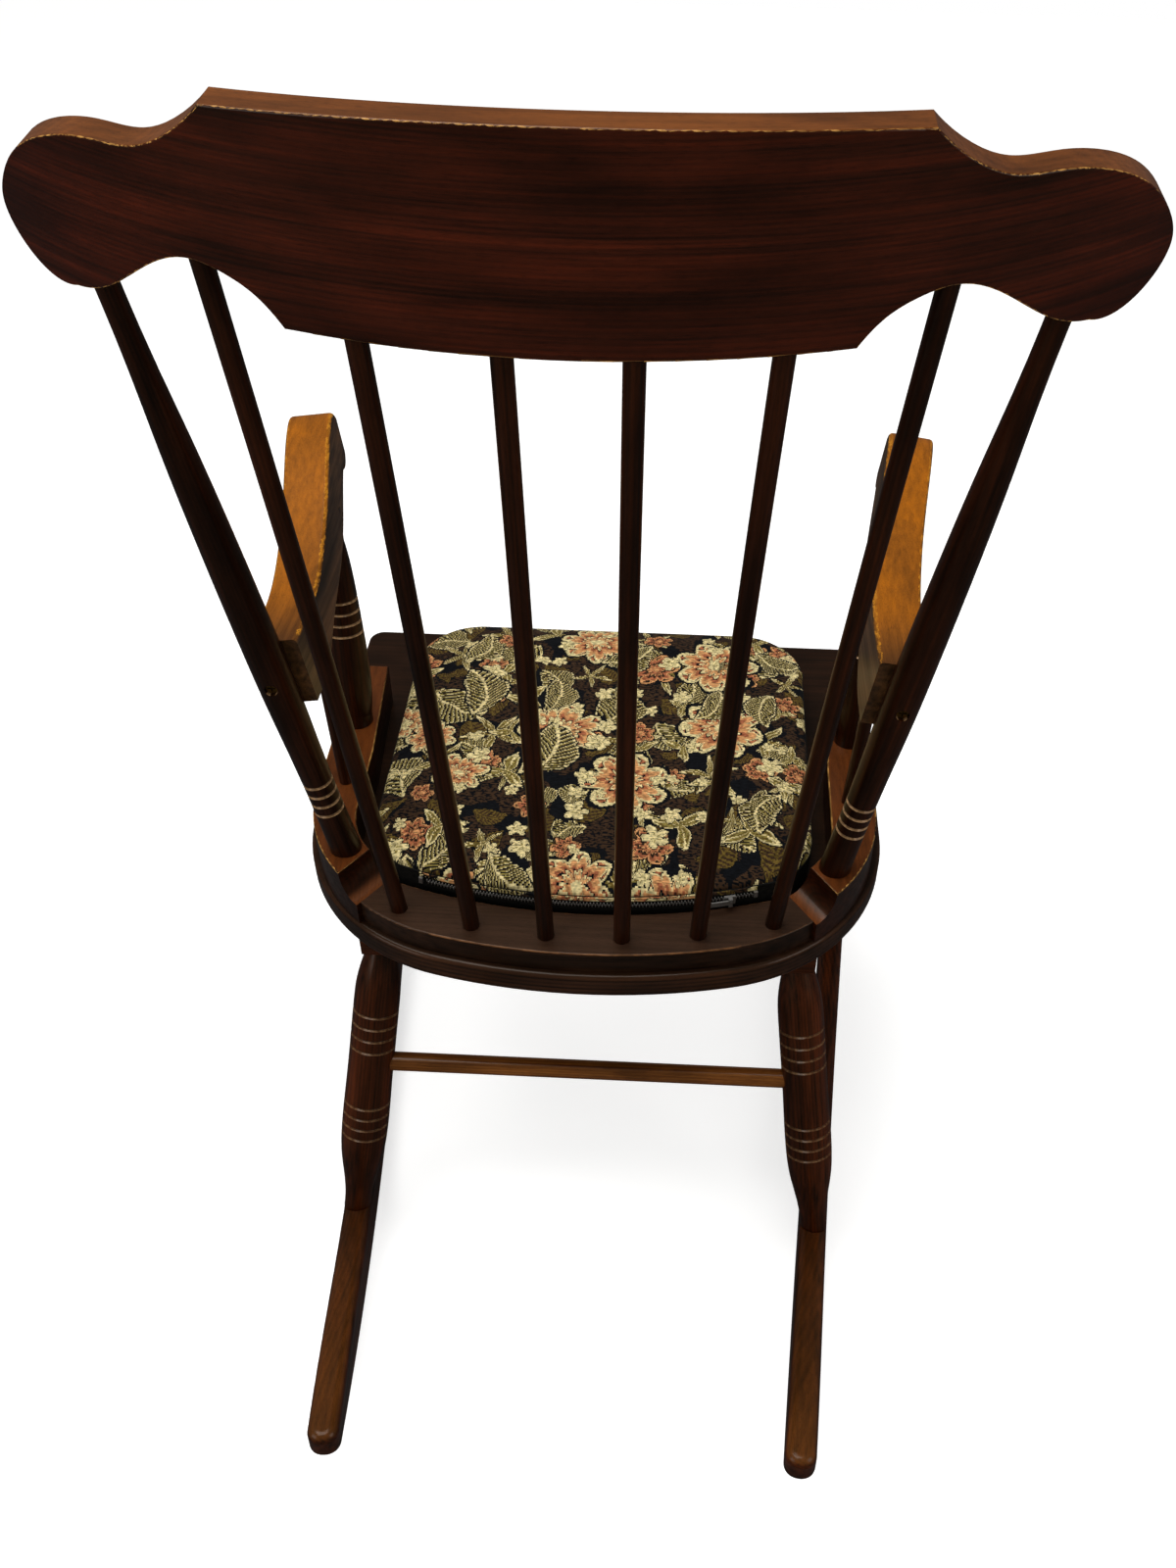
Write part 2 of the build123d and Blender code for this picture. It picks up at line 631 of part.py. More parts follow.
screw_start = post_at_arm - arm_forward * 30
counterbore_floor = post_at_arm - arm_forward * (POST_SWELL_RADIUS - ARM_SCREW_BORE_DEPTH)
screw_point = post_at_arm + arm_forward * (ARM_SEAT_DEPTH + ARM_SCREW_REACH)
arm_counterbore = stick(
    screw_start, counterbore_floor, ARM_SCREW_HEAD_RADIUS + LOOSE_CLEARANCE, 0, 0
)
arm_screw_hole = stick(counterbore_floor, screw_point, ARM_SCREW_RADIUS + SOCKET_CLEARANCE, 1, 0)
with BuildPart() as arm_screw:
    add(stick(counterbore_floor, screw_point, ARM_SCREW_RADIUS, 0, 0))
    add(
        stick(
            counterbore_floor - arm_forward * ARM_SCREW_HEAD_HEIGHT,
            counterbore_floor,
            ARM_SCREW_HEAD_RADIUS,
            0,
            0,
        )
    )
    with Locations(
        Plane(
            origin=counterbore_floor - arm_forward * ARM_SCREW_HEAD_HEIGHT,
            x_dir=(1, 0, 0),
            z_dir=arm_forward,
        ).location
    ):
        slot_length = 1.3 * ARM_SCREW_HEAD_RADIUS
        Box(slot_length, SCREW_SLOT, ARM_SCREW_HEAD_HEIGHT, mode=Mode.SUBTRACT)
        Box(SCREW_SLOT, slot_length, ARM_SCREW_HEAD_HEIGHT, mode=Mode.SUBTRACT)

support_foot = on_seat(BOARD_HALF_WIDTH - SUPPORT_FOOT_IN, SUPPORT_FOOT_AT, BLOCK_HEIGHT)
support_head = Vector(arm_inner_x + SUPPORT_HEAD_OUT, SUPPORT_HEAD_Y, arm_low + SUPPORT_HEAD_UP)
support_length = (support_head - support_foot).length
support_stations = [
    (8, SUPPORT_FOOT_RADIUS),
    (45, SUPPORT_SWELL_RADIUS),
    (85, SUPPORT_SWELL_RADIUS - 0.8),
    (118, SUPPORT_SWELL_RADIUS - 2.2),
    (150, SUPPORT_NECK_RADIUS + 2),
    (support_length - SUPPORT_NECK_LENGTH, SUPPORT_NECK_RADIUS),
]
arm_support = turned(
    support_foot,
    support_head,
    support_stations,
    [(86, SUPPORT_RING_PITCH)],
    8 + ARM_STICK_DEPTH,
    SUPPORT_NECK_LENGTH,
)
support_foot_socket = stick(
    support_foot,
    support_head,
    SUPPORT_FOOT_RADIUS + SOCKET_CLEARANCE,
    ARM_STICK_DEPTH,
    20 - support_length,
)
support_head_socket = stick(
    support_foot,
    support_head,
    SUPPORT_NECK_RADIUS + SOCKET_CLEARANCE,
    SUPPORT_NECK_LENGTH - support_length,
    0,
)
arm_spindle_foot = on_seat(
    BOARD_HALF_WIDTH - ARM_SPINDLE_FOOT_IN, ARM_SPINDLE_FOOT_AT, BLOCK_HEIGHT
)
arm_spindle_head = Vector(
    arm_inner_x + SUPPORT_HEAD_OUT, ARM_SPINDLE_HEAD_Y, arm_low + ARM_SPINDLE_HEAD_UP
)
arm_spindle = stick(arm_spindle_foot, arm_spindle_head, ARM_SPINDLE_RADIUS, ARM_STICK_DEPTH, 0)
arm_spindle_socket = stick(
    arm_spindle_foot,
    arm_spindle_head,
    ARM_SPINDLE_RADIUS + SOCKET_CLEARANCE,
    ARM_STICK_DEPTH,
    0,
)

arm_left = cut(
    arm_body, behind_arm.part, arm_screw_hole, support_head_socket, arm_spindle_socket
)
arm_blunt = cut(arm_body, behind_arm.part)
back_post = cut(post_blank, arm_blunt, arm_counterbore, arm_screw_hole)

# ---------------------------------------------------------------- base: bearers and rockers
bearer_top = -BOARD_THICKNESS
bearer_under = bearer_top - BEARER_THICKNESS


def bearer(at, half_length):
    """Square bar screwed across the underside of the board."""
    with BuildPart() as bar:
        with Locations(seat_plane.location):
            with Locations((0, at, bearer_top)):
                Box(
                    2 * half_length,
                    BEARER_DEPTH,
                    BEARER_THICKNESS,
                    align=(Align.CENTER, Align.CENTER, Align.MAX),
                )
        lower_edges = bar.edges().sort_by(seat_normal_axis)[:4]
        chamfer(lower_edges, BEARER_CHAMFER)
    return bar.part


toe = radians(ROCKER_TOE)
rocker_plane = Plane(
    origin=(rocker_x + tan(toe) * (REAR_LEG_FOOT_Y - ROCKER_CONTACT_Y), ROCKER_CONTACT_Y, 0),
    x_dir=(-sin(toe), cos(toe), 0),
    z_dir=(cos(toe), sin(toe), 0),
)


def rocker_under(along):
    """Height of the rocker's underside."""
    return ROCKER_RADIUS - sqrt(ROCKER_RADIUS**2 - along**2)


def rocker_over(along):
    """Height of the rocker's top over the parallel part of its length."""
    return ROCKER_RADIUS - sqrt((ROCKER_RADIUS - ROCKER_DEPTH) ** 2 - along**2)


rear_tip = (ROCKER_HALF_LENGTH - ROCKER_CONTACT_Y) / cos(toe)
front_tip = (-ROCKER_HALF_LENGTH - ROCKER_CONTACT_Y) / cos(toe)
with BuildPart() as rocker_blank:
    with BuildSketch(rocker_plane):
        with BuildLine():
            tip_top_rear = (rear_tip, rocker_under(rear_tip) + ROCKER_TIP_DEPTH)
            tip_top_front = (front_tip, rocker_under(front_tip) + ROCKER_TIP_DEPTH)
            rear_full = rear_tip - ROCKER_TIP_RUN
            front_full = front_tip + ROCKER_TIP_RUN
            ThreePointArc(
                (front_tip, rocker_under(front_tip)),
                (0, 0),
                (rear_tip, rocker_under(rear_tip)),
            )
            Line((rear_tip, rocker_under(rear_tip)), tip_top_rear)
            Spline(
                tip_top_rear,
                (rear_full + 60, rocker_over(rear_full + 60) - 3),
                (rear_full, rocker_over(rear_full)),
                (0, ROCKER_DEPTH),
                (front_full, rocker_over(front_full)),
                (front_full - 60, rocker_over(front_full - 60) - 3),
                tip_top_front,
            )
            Line(tip_top_front, (front_tip, rocker_under(front_tip)))
        make_face()
    extrude(amount=ROCKER_THICKNESS / 2, both=True)
    upright_edges = rocker_blank.edges().filter_by(
        lambda edge: edge.bounding_box().size.Y < 1 and edge.bounding_box().size.Z > 1
    )
    fillet(upright_edges, ROCKER_TIP_ROUND)
    flat_sides = rocker_blank.faces().filter_by(
        lambda face: abs(face.normal_at().dot(rocker_plane.z_dir)) > 0.99
    )
    fillet(flat_sides.edges(), ROCKER_ROUND)


def foot_plane(foot_y):
    """Flat seat for a leg, a little way down in the rocker's top."""
    along = (foot_y - ROCKER_CONTACT_Y) / cos(toe)
    level = rocker_over(along) - LEG_SPOT_DEPTH
    lean = atan2(along, sqrt((ROCKER_RADIUS - ROCKER_DEPTH) ** 2 - along**2))
    point = rocker_plane.from_local_coords(Vector(along, level, 0))
    rail = rocker_plane.x_dir * cos(lean) + Vector(0, 0, sin(lean))
    return Plane(origin=point, x_dir=rail, z_dir=rail.cross(-rocker_plane.z_dir))


def leg_pieces(head_x, head_at, foot_y):
    """One leg with its sockets: leg, bearer socket, rocker socket, stretcher point."""
    head = on_seat(head_x, head_at, bearer_under)
    seat_cut = foot_plane(foot_y)
    foot = seat_cut.origin
    length = (head - foot).length
    stations = [
        (4, LEG_FOOT_RADIUS),
        (30, LEG_FOOT_RADIUS + 2.4),
        (55, LEG_BODY_RADIUS - 1.6),
        (78, LEG_BODY_RADIUS),
        (length / 2, LEG_BODY_RADIUS - 0.4),
        (length - 58, LEG_BODY_RADIUS - 0.7),
        (length - 38, LEG_BODY_RADIUS - 1.6),
        (length - 18, LEG_NECK_RADIUS + 3.4),
        (length - 2, LEG_NECK_RADIUS),
    ]
    rings = [(79, LEG_LOWER_RING_PITCH), (length - 100, LEG_UPPER_RING_PITCH)]
    body = turned(foot, head, stations, rings, LEG_BODY_RADIUS, LEG_BODY_RADIUS)
    with BuildPart() as leg:
        add(body)
        with Locations(seat_cut.location):
            Box(
                120, 120, 60, align=(Align.CENTER, Align.CENTER, Align.MAX), mode=Mode.SUBTRACT
            )
        with Locations(seat_plane.location):
            with Locations((head_x, head_at, bearer_under)):
                Box(
                    120,
                    120,
                    60,
                    align=(Align.CENTER, Align.CENTER, Align.MIN),
                    mode=Mode.SUBTRACT,
                )
        add(stick(foot, head, LEG_TENON_RADIUS, LEG_FOOT_TENON, LEG_HEAD_TENON))
    head_socket = stick(
        head, foot, LEG_TENON_RADIUS + SOCKET_CLEARANCE, LEG_HEAD_TENON, 20 - length
    )
    foot_socket = stick(
        foot, head, LEG_TENON_RADIUS + SOCKET_CLEARANCE, LEG_FOOT_TENON, 20 - length
    )
    with BuildPart() as spot_face:
        with Locations(seat_cut.location):
            Cylinder(
                LEG_FOOT_RADIUS + 1.5,
                20,
                align=(Align.CENTER, Align.CENTER, Align.MIN),
            )
    stretcher_point = foot + (head - foot) * STRETCHER_UP
    return leg.part, head_socket, foot_socket, spot_face.part, stretcher_point


def stretcher(point, extra):
    """Dowel from leg to leg; extra is added to its radius for the sockets."""
    reach = point.X + 2
    return stick(
        Vector(-reach, point.Y, point.Z),
        Vector(reach, point.Y, point.Z),
        STRETCHER_RADIUS + extra,
        0,
        0,
    )


rear_leg, rear_head_socket, rear_foot_socket, rear_spot, rear_point = leg_pieces(
    rear_bearer_half - LEG_HEAD_IN, rear_bearer_at, REAR_LEG_FOOT_Y
)
front_leg, front_head_socket, front_foot_socket, front_spot, front_point = leg_pieces(
    front_bearer_half - LEG_HEAD_IN, front_bearer_at, FRONT_LEG_FOOT_Y
)
rear_leg = cut(rear_leg, stretcher(rear_point, SOCKET_CLEARANCE))
front_leg = cut(front_leg, stretcher(front_point, SOCKET_CLEARANCE))
rocker_left = cut(
    rocker_blank.part, rear_spot, front_spot, rear_foot_socket, front_foot_socket
)

# ---------------------------------------------------------------- screws under the seat
def wood_screw(x, y, head_at, point_at, extra):
    """Screw driven upwards under the seat; extra widens it to make its hole."""
    under = on_seat(x, y, head_at)
    neck = on_seat(x, y, head_at + WOOD_SCREW_HEAD_HEIGHT)
    point = on_seat(x, y, point_at)
    with BuildPart() as screw:
        add(stick(under, neck, WOOD_SCREW_HEAD_RADIUS + extra, extra, 0))
        add(stick(neck, point, WOOD_SCREW_RADIUS + extra, WOOD_SCREW_HEAD_HEIGHT / 2, 0))
    return screw.part


def screw_group(places, head_at, point_at, extra):
    """All the screws of one kind as one part."""
    with BuildPart() as group:
        for x, y in places:
            add(wood_screw(x, y, head_at, point_at, extra))
    return group.part


block_screw_x = BOARD_HALF_WIDTH - BLOCK_SCREW_IN
block_places = [(side * block_screw_x, y) for side in (1, -1) for y in BLOCK_SCREWS_AT]
bearer_places = [
    (step * BEARER_SCREW_PITCH, y)
    for step in (-1, 0, 1)
    for y in (rear_bearer_at, front_bearer_at)
]
block_screws = screw_group(block_places, -BOARD_THICKNESS, BLOCK_SCREW_REACH, 0)
block_screw_holes = screw_group(
    block_places, -BOARD_THICKNESS, BLOCK_SCREW_REACH, SOCKET_CLEARANCE
)
bearer_screw_end = BEARER_SCREW_REACH - BOARD_THICKNESS
bearer_screws = screw_group(bearer_places, bearer_under, bearer_screw_end, 0)
bearer_screw_holes = screw_group(
    bearer_places, bearer_under, bearer_screw_end, SOCKET_CLEARANCE
)
with BuildPart() as arm_screws:
    add(arm_screw.part)
    add(mirrored(arm_screw.part))

# ---------------------------------------------------------------- finished wooden pieces
rear_rim = cut(rim_blank.part, *(spindle_sockets + [mirrored(s) for s in spindle_sockets]))
seat_board = cut(board_blank.part, block_screw_holes, bearer_screw_holes)
side_block_left = cut(
    block_blank.part,
    post_foot_socket,
    support_foot_socket,
    arm_spindle_socket,
    block_screw_holes,
)
rear_bearer = cut(
    bearer(rear_bearer_at, rear_bearer_half),
    rear_head_socket,
    mirrored(rear_head_socket),
    bearer_screw_holes,
)
front_bearer = cut(
    bearer(front_bearer_at, front_bearer_half),
    front_head_socket,
    mirrored(front_head_socket),
    bearer_screw_holes,
)

# ---------------------------------------------------------------- cushion and its zip
with BuildPart() as cushion:
    with BuildSketch(seat_plane.offset(LOOSE_CLEARANCE)):
        add(
            d_outline(
                BOARD_HALF_WIDTH - inner_setback - CUSHION_SIDE_GAP,
                CUSHION_REAR_CORNER,
                cushion_rear_radius,
                BOARD_FRONT + CUSHION_FRONT,
                CUSHION_FRONT_CORNER,
            )
        )
    extrude(amount=CUSHION_HEIGHT)
    cushion_faces = cushion.faces().filter_by(
        lambda face: abs(face.normal_at().dot(seat_normal)) > 0.99
    )
    fillet(cushion_faces.edges(), CUSHION_ROUND)


def zip_piece(inner, thickness, height, start_angle, end_angle):
    """Curved strip on the cushion's back, between two angles from its middle."""
    reach = 2 * cushion_rear_radius
    with BuildPart() as strip:
        with BuildSketch(seat_plane.offset(ZIP_LEVEL - height / 2)):
            with Locations((0, REAR_CENTRE)):
                Circle(inner + thickness)
                Circle(inner, mode=Mode.SUBTRACT)
            with BuildLine():
                Polyline(
                    (0, REAR_CENTRE),
                    (
                        reach * sin(radians(start_angle)),
                        REAR_CENTRE + reach * cos(radians(start_angle)),
                    ),
                    (
                        reach * sin(radians(end_angle)),
                        REAR_CENTRE + reach * cos(radians(end_angle)),
                    ),
                    close=True,
                )
            make_face(mode=Mode.INTERSECT)
        extrude(amount=height)
    return strip.part


tape_inner = cushion_rear_radius + ZIP_CLEARANCE
chain_inner = tape_inner + ZIP_TAPE_THICKNESS + ZIP_CLEARANCE
chain_outer = chain_inner + ZIP_CHAIN_THICKNESS
stop_angle = degrees(ZIP_STOP_LENGTH / chain_outer)
zip_tape = zip_piece(
    tape_inner,
    ZIP_TAPE_THICKNESS,
    ZIP_TAPE_HEIGHT,
    -ZIP_HALF_ANGLE - stop_angle,
    ZIP_HALF_ANGLE + stop_angle,
)
zip_chain = zip_piece(
    chain_inner, ZIP_CHAIN_THICKNESS, ZIP_CHAIN_HEIGHT, -ZIP_HALF_ANGLE, ZIP_HALF_ANGLE
)
with BuildPart() as zip_stops:
    for side in (1, -1):
        angles = sorted((side * ZIP_HALF_ANGLE, side * (ZIP_HALF_ANGLE + stop_angle)))
        add(
            zip_piece(
                chain_inner,
                ZIP_CHAIN_THICKNESS + ZIP_STOP_PROUD,
                ZIP_CHAIN_HEIGHT + 2 * ZIP_STOP_PROUD,
                angles[0],
                angles[1],
            )
        )

slider_angle = radians(SLIDER_AT)
slider_out = seat_plane.x_dir * sin(slider_angle) + seat_plane.y_dir * cos(slider_angle)
slider_along = seat_plane.x_dir * cos(slider_angle) - seat_plane.y_dir * sin(slider_angle)
slider_base = on_seat(0, REAR_CENTRE, ZIP_LEVEL) + slider_out * (chain_outer + LOOSE_CLEARANCE)
slider_plane = Plane(origin=slider_base, x_dir=slider_along, z_dir=seat_normal)
tab_eye_radius = TAB_PIN_RADIUS + TAB_PIN_PLAY + TAB_WALL
pin_out = SLIDER_THICKNESS + tab_eye_radius + TAB_GAP
lug_level = (SLIDER_HEIGHT - SLIDER_LUG) / 2
with BuildPart() as zip_slider:
    with Locations(slider_plane.location):
        Box(
            SLIDER_LENGTH,
            SLIDER_THICKNESS,
            SLIDER_HEIGHT,
            align=(Align.CENTER, Align.MIN, Align.CENTER),
        )
        for side in (1, -1):
            with Locations((0, SLIDER_THICKNESS, side * lug_level)):
                Box(
                    4 * TAB_PIN_RADIUS,
                    pin_out - SLIDER_THICKNESS + TAB_PIN_RADIUS + 0.3,
                    SLIDER_LUG,
                    align=(Align.CENTER, Align.MIN, Align.CENTER),
                )
        with Locations((0, pin_out, 0)):
            Cylinder(TAB_PIN_RADIUS, 2 * lug_level)

tab_height = SLIDER_HEIGHT - 2 * SLIDER_LUG - 2 * LOOSE_CLEARANCE
with BuildPart() as zip_tab:
    with Locations(slider_plane.location):
        with Locations((0, pin_out, 0)):
            Cylinder(tab_eye_radius, tab_height)
            Box(
                TAB_LENGTH,
                TAB_THICKNESS,
                tab_height,
                align=(Align.MIN, Align.CENTER, Align.CENTER),
            )
            Cylinder(TAB_PIN_RADIUS + TAB_PIN_PLAY, tab_height + 2, mode=Mode.SUBTRACT)

# ---------------------------------------------------------------- files
save(crest_rail, "crest_rail")
save(back_post, "back_post_left")
save(mirrored(back_post), "back_post_right")
for number, spindle in enumerate(reversed(spindles), start=1):
    save(spindle, "back_spindle_" + str(number))
    save(mirrored(spindle), "back_spindle_" + str(7 - number))
save(seat_board, "seat_board")
save(rear_rim, "seat_rear_rim")
save(side_block_left, "side_block_left")
save(mirrored(side_block_left), "side_block_right")
save(arm_left, "arm_left")
save(mirrored(arm_left), "arm_right")
save(arm_support, "arm_support_left")
save(mirrored(arm_support), "arm_support_right")
save(arm_spindle, "arm_spindle_left")
save(mirrored(arm_spindle), "arm_spindle_right")
save(arm_screws.part, "arm_screws")
save(rear_bearer, "rear_bearer")
save(front_bearer, "front_bearer")
save(rear_leg, "rear_leg_left")
save(mirrored(rear_leg), "rear_leg_right")
save(front_leg, "front_leg_left")
save(mirrored(front_leg), "front_leg_right")
save(stretcher(rear_point, 0), "rear_stretcher")
save(stretcher(front_point, 0), "front_stretcher")
save(rocker_left, "rocker_left")
save(mirrored(rocker_left), "rocker_right")
save(block_screws, "block_screws")
save(bearer_screws, "bearer_screws")
save(cushion.part, "cushion")
save(zip_tape, "zip_tape")
save(zip_chain, "zip_chain")
save(zip_stops.part, "zip_stops")
save(zip_slider.part, "zip_slider")
save(zip_tab.part, "zip_tab")
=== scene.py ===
import functools
import json
import math
import random

import bpy
import numpy as np
from mathutils import Matrix, Vector
from mathutils.kdtree import KDTree

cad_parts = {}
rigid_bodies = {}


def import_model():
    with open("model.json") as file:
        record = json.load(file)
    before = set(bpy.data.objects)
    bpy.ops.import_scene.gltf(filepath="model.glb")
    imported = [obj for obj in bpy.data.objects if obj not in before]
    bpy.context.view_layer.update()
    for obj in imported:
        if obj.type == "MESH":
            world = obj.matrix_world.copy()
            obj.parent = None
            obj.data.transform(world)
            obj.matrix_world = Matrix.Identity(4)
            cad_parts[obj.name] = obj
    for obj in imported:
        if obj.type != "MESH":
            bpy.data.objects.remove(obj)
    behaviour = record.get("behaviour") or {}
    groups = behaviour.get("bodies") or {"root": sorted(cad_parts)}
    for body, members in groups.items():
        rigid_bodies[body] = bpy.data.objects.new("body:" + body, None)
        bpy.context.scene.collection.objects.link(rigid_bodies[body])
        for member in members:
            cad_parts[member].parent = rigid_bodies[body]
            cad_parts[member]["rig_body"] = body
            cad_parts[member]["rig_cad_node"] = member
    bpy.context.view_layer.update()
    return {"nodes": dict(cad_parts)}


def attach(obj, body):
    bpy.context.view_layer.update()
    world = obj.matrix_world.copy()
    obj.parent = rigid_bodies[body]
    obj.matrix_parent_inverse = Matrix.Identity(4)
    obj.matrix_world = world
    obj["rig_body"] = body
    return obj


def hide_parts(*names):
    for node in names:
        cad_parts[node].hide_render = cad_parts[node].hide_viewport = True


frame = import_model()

bl_info = {
    "name": "Comb back rocking chair",
    "version": (1, 0, 0),
    "blender": (4, 5, 0),
    "location": "View3D > Sidebar > Rocking Chair",
    "description": "Dresses the packed rocking chair in wood stains, tapestry and metals",
    "category": "Object",
}

MM = 0.001
SIDES = ("left", "right")


def colour(code):
    """Linear RGBA of an sRGB hex colour."""
    shares = [int(code[at:at + 2], 16) / 255 for at in (1, 3, 5)]
    linear = [s / 12.92 if s <= 0.04045 else ((s + 0.055) / 1.055) ** 2.4 for s in shares]
    return (*linear, 1.0)


# ---------------------------------------------------------------- user settings
def tint(name, code, description):
    """A colour setting whose default is a hex colour."""
    return bpy.props.FloatVectorProperty(
        name=name, description=description, subtype="COLOR", size=4, min=0.0, max=1.0,
        default=colour(code),
    )


def length(name, millimetres, description):
    """A length setting whose default is given in millimetres."""
    return bpy.props.FloatProperty(
        name=name, description=description, subtype="DISTANCE", unit="LENGTH", precision=4,
        default=millimetres * MM,
    )


def power(name, watts, description):
    """A lamp's power setting."""
    return bpy.props.FloatProperty(
        name=name, description=description, subtype="POWER", unit="POWER", default=watts
    )


class ChairWoodSettings(bpy.types.PropertyGroup):
    """Stains of the wooden pieces."""

    crest_dark: tint("Crest, dark", "#1f0501", "Deep stain on the crest rail's faces")
    crest_light: tint("Crest, light", "#3f1103", "Early wood on the crest rail's faces")
    # the crest's top is painted paler, as lit from above
    crest_rubbed: tint("Crest, rubbed", "#874c1c", "Thin stain on the crest rail's top")
    turned_dark: tint("Turnings, dark", "#100300", "Deep stain on posts and spindles")
    turned_light: tint("Turnings, light", "#301103", "Early wood on posts and spindles")
    arm_dark: tint("Arms, dark", "#2a1c0f", "Stain on the arms' sides")
    arm_light: tint("Arms, light", "#5e3d20", "Early wood on the arms' sides")
    arm_rubbed: tint("Arms, rubbed", "#b4660a", "Golden wood where hands rub the arms")
    arm_worn: tint("Arms, worn", "#c4801c", "Yellow wood on the arms' arrises")
    seat_dark: tint("Seat, dark", "#110703", "Deep stain on the seat board and rim")
    seat_light: tint("Seat, light", "#321b0e", "Early wood on the seat board and rim")
    # the rim's black brown outer face holds painted shade; its paler top is painted as lit from
    # above
    rim_dark: tint("Rim, dark", "#0e0603", "Black brown stain on the rim's outer face")
    rim_light: tint("Rim, light", "#2b180d", "Early wood on the rim's outer face")
    rim_rubbed: tint("Rim, top", "#412c20", "Grey brown top of the rim")
    # the blocks' orange top is painted as lit from above
    block_rubbed: tint("Blocks, top", "#713a15", "Orange wood on top of the side blocks")
    leg_dark: tint("Base, dark", "#110400", "Deep stain on legs and rockers")
    leg_light: tint("Base, light", "#451b05", "Early wood on legs and rockers")
    stretcher_light: tint("Stretchers, light", "#85501f", "Golden wood of the stretchers")
    # pale groove sides and arrises: partly bare wood, partly a painted highlight
    groove_worn: tint("Groove sides", "#b18a60", "Pale wood on the sides of turned grooves")
    # the seat's and rim's pale arris line: partly thinned stain, partly a painted highlight
    worn_dark: tint("Worn dark arris", "#70492a", "Thinned stain on the seat's arrises")
    worn: tint("Worn arris", "#bd8a45", "Bare wood where an edge has lost its stain")
    ring_pitch: length("Growth rings", 2.6, "Spacing of the growth rings")
    layer_pitch: length("Board layers", 4.4, "Thickness of the layers glued to the seat board")
    pore_pitch: length("Pores", 0.7, "Spacing of the pores across the grain")


class ChairCushionSettings(bpy.types.PropertyGroup):
    """Sizes and colours of the cushion and its zip."""

    ground: tint("Ground", "#0b0d11", "Black navy ground of the tapestry")
    earth: tint("Earth", "#3a2819", "Brown patches of the ground")
    olive: tint("Olive", "#645020", "Leaf green")
    sage: tint("Sage", "#8a7a3e", "Pale leaf green")
    cream: tint("Cream", "#dfcd94", "Outlines and small flowers")
    peach: tint("Peach", "#cf955f", "Petals")
    coral: tint("Coral", "#a5603f", "Shaded petals")
    band: tint("Side band", "#15130f", "Cloth of the side band")
    shrink: length("Start inset", 3.0, "How far the pad starts inside its final size")
    cap: length("Fill limit", 9.0, "How far a point may move as the pad fills")
    voxel: length("Remesh size", 5.0, "Size of the remeshed cells")
    seam_depth: length("Seam depth", 1.6, "How deep the seams pull in")
    thread: length("Thread spacing", 1.1, "Spacing of the tapestry's ribs")
    tooth_pitch: length("Tooth pitch", 2.6, "Spacing of the zip's teeth")


class ChairStageSettings(bpy.types.PropertyGroup):
    """Floor and light."""

    floor: tint("Floor", "#f4f3f1", "Pale floor")
    key_power: power("Key light", 34.0, "Power of the large soft lamp overhead")
    fill_power: power("Fill light", 9.0, "Power of the two fill lamps")


# ---------------------------------------------------------------- nodes
def put(tree, kind, feeds=(), out=0, **settings):
    """Adds a shader node and returns one of its outputs.

    kind may be followed by the node's operation. feeds holds plain values or the sockets
    that feed it, by name or number, or in order where it is a list; settings are the
    node's own properties.
    """
    kind, _, operation = kind.partition(" ")
    made = tree.nodes.new("ShaderNode" + kind)
    if operation:
        made.operation = operation
    for name, value in settings.items():
        setattr(made, name, value)
    for name, value in feeds.items() if isinstance(feeds, dict) else enumerate(feeds):
        if isinstance(value, bpy.types.NodeSocket):
            tree.links.new(value, made.inputs[name])
        else:
            made.inputs[name].default_value = value
    return made.outputs[out] if len(made.outputs) else None


def new_material(name):
    """An empty node material, and put for its tree."""
    made = bpy.data.materials.new(name)
    made.use_nodes = True
    made.node_tree.nodes.clear()
    return made, functools.partial(put, made.node_tree)


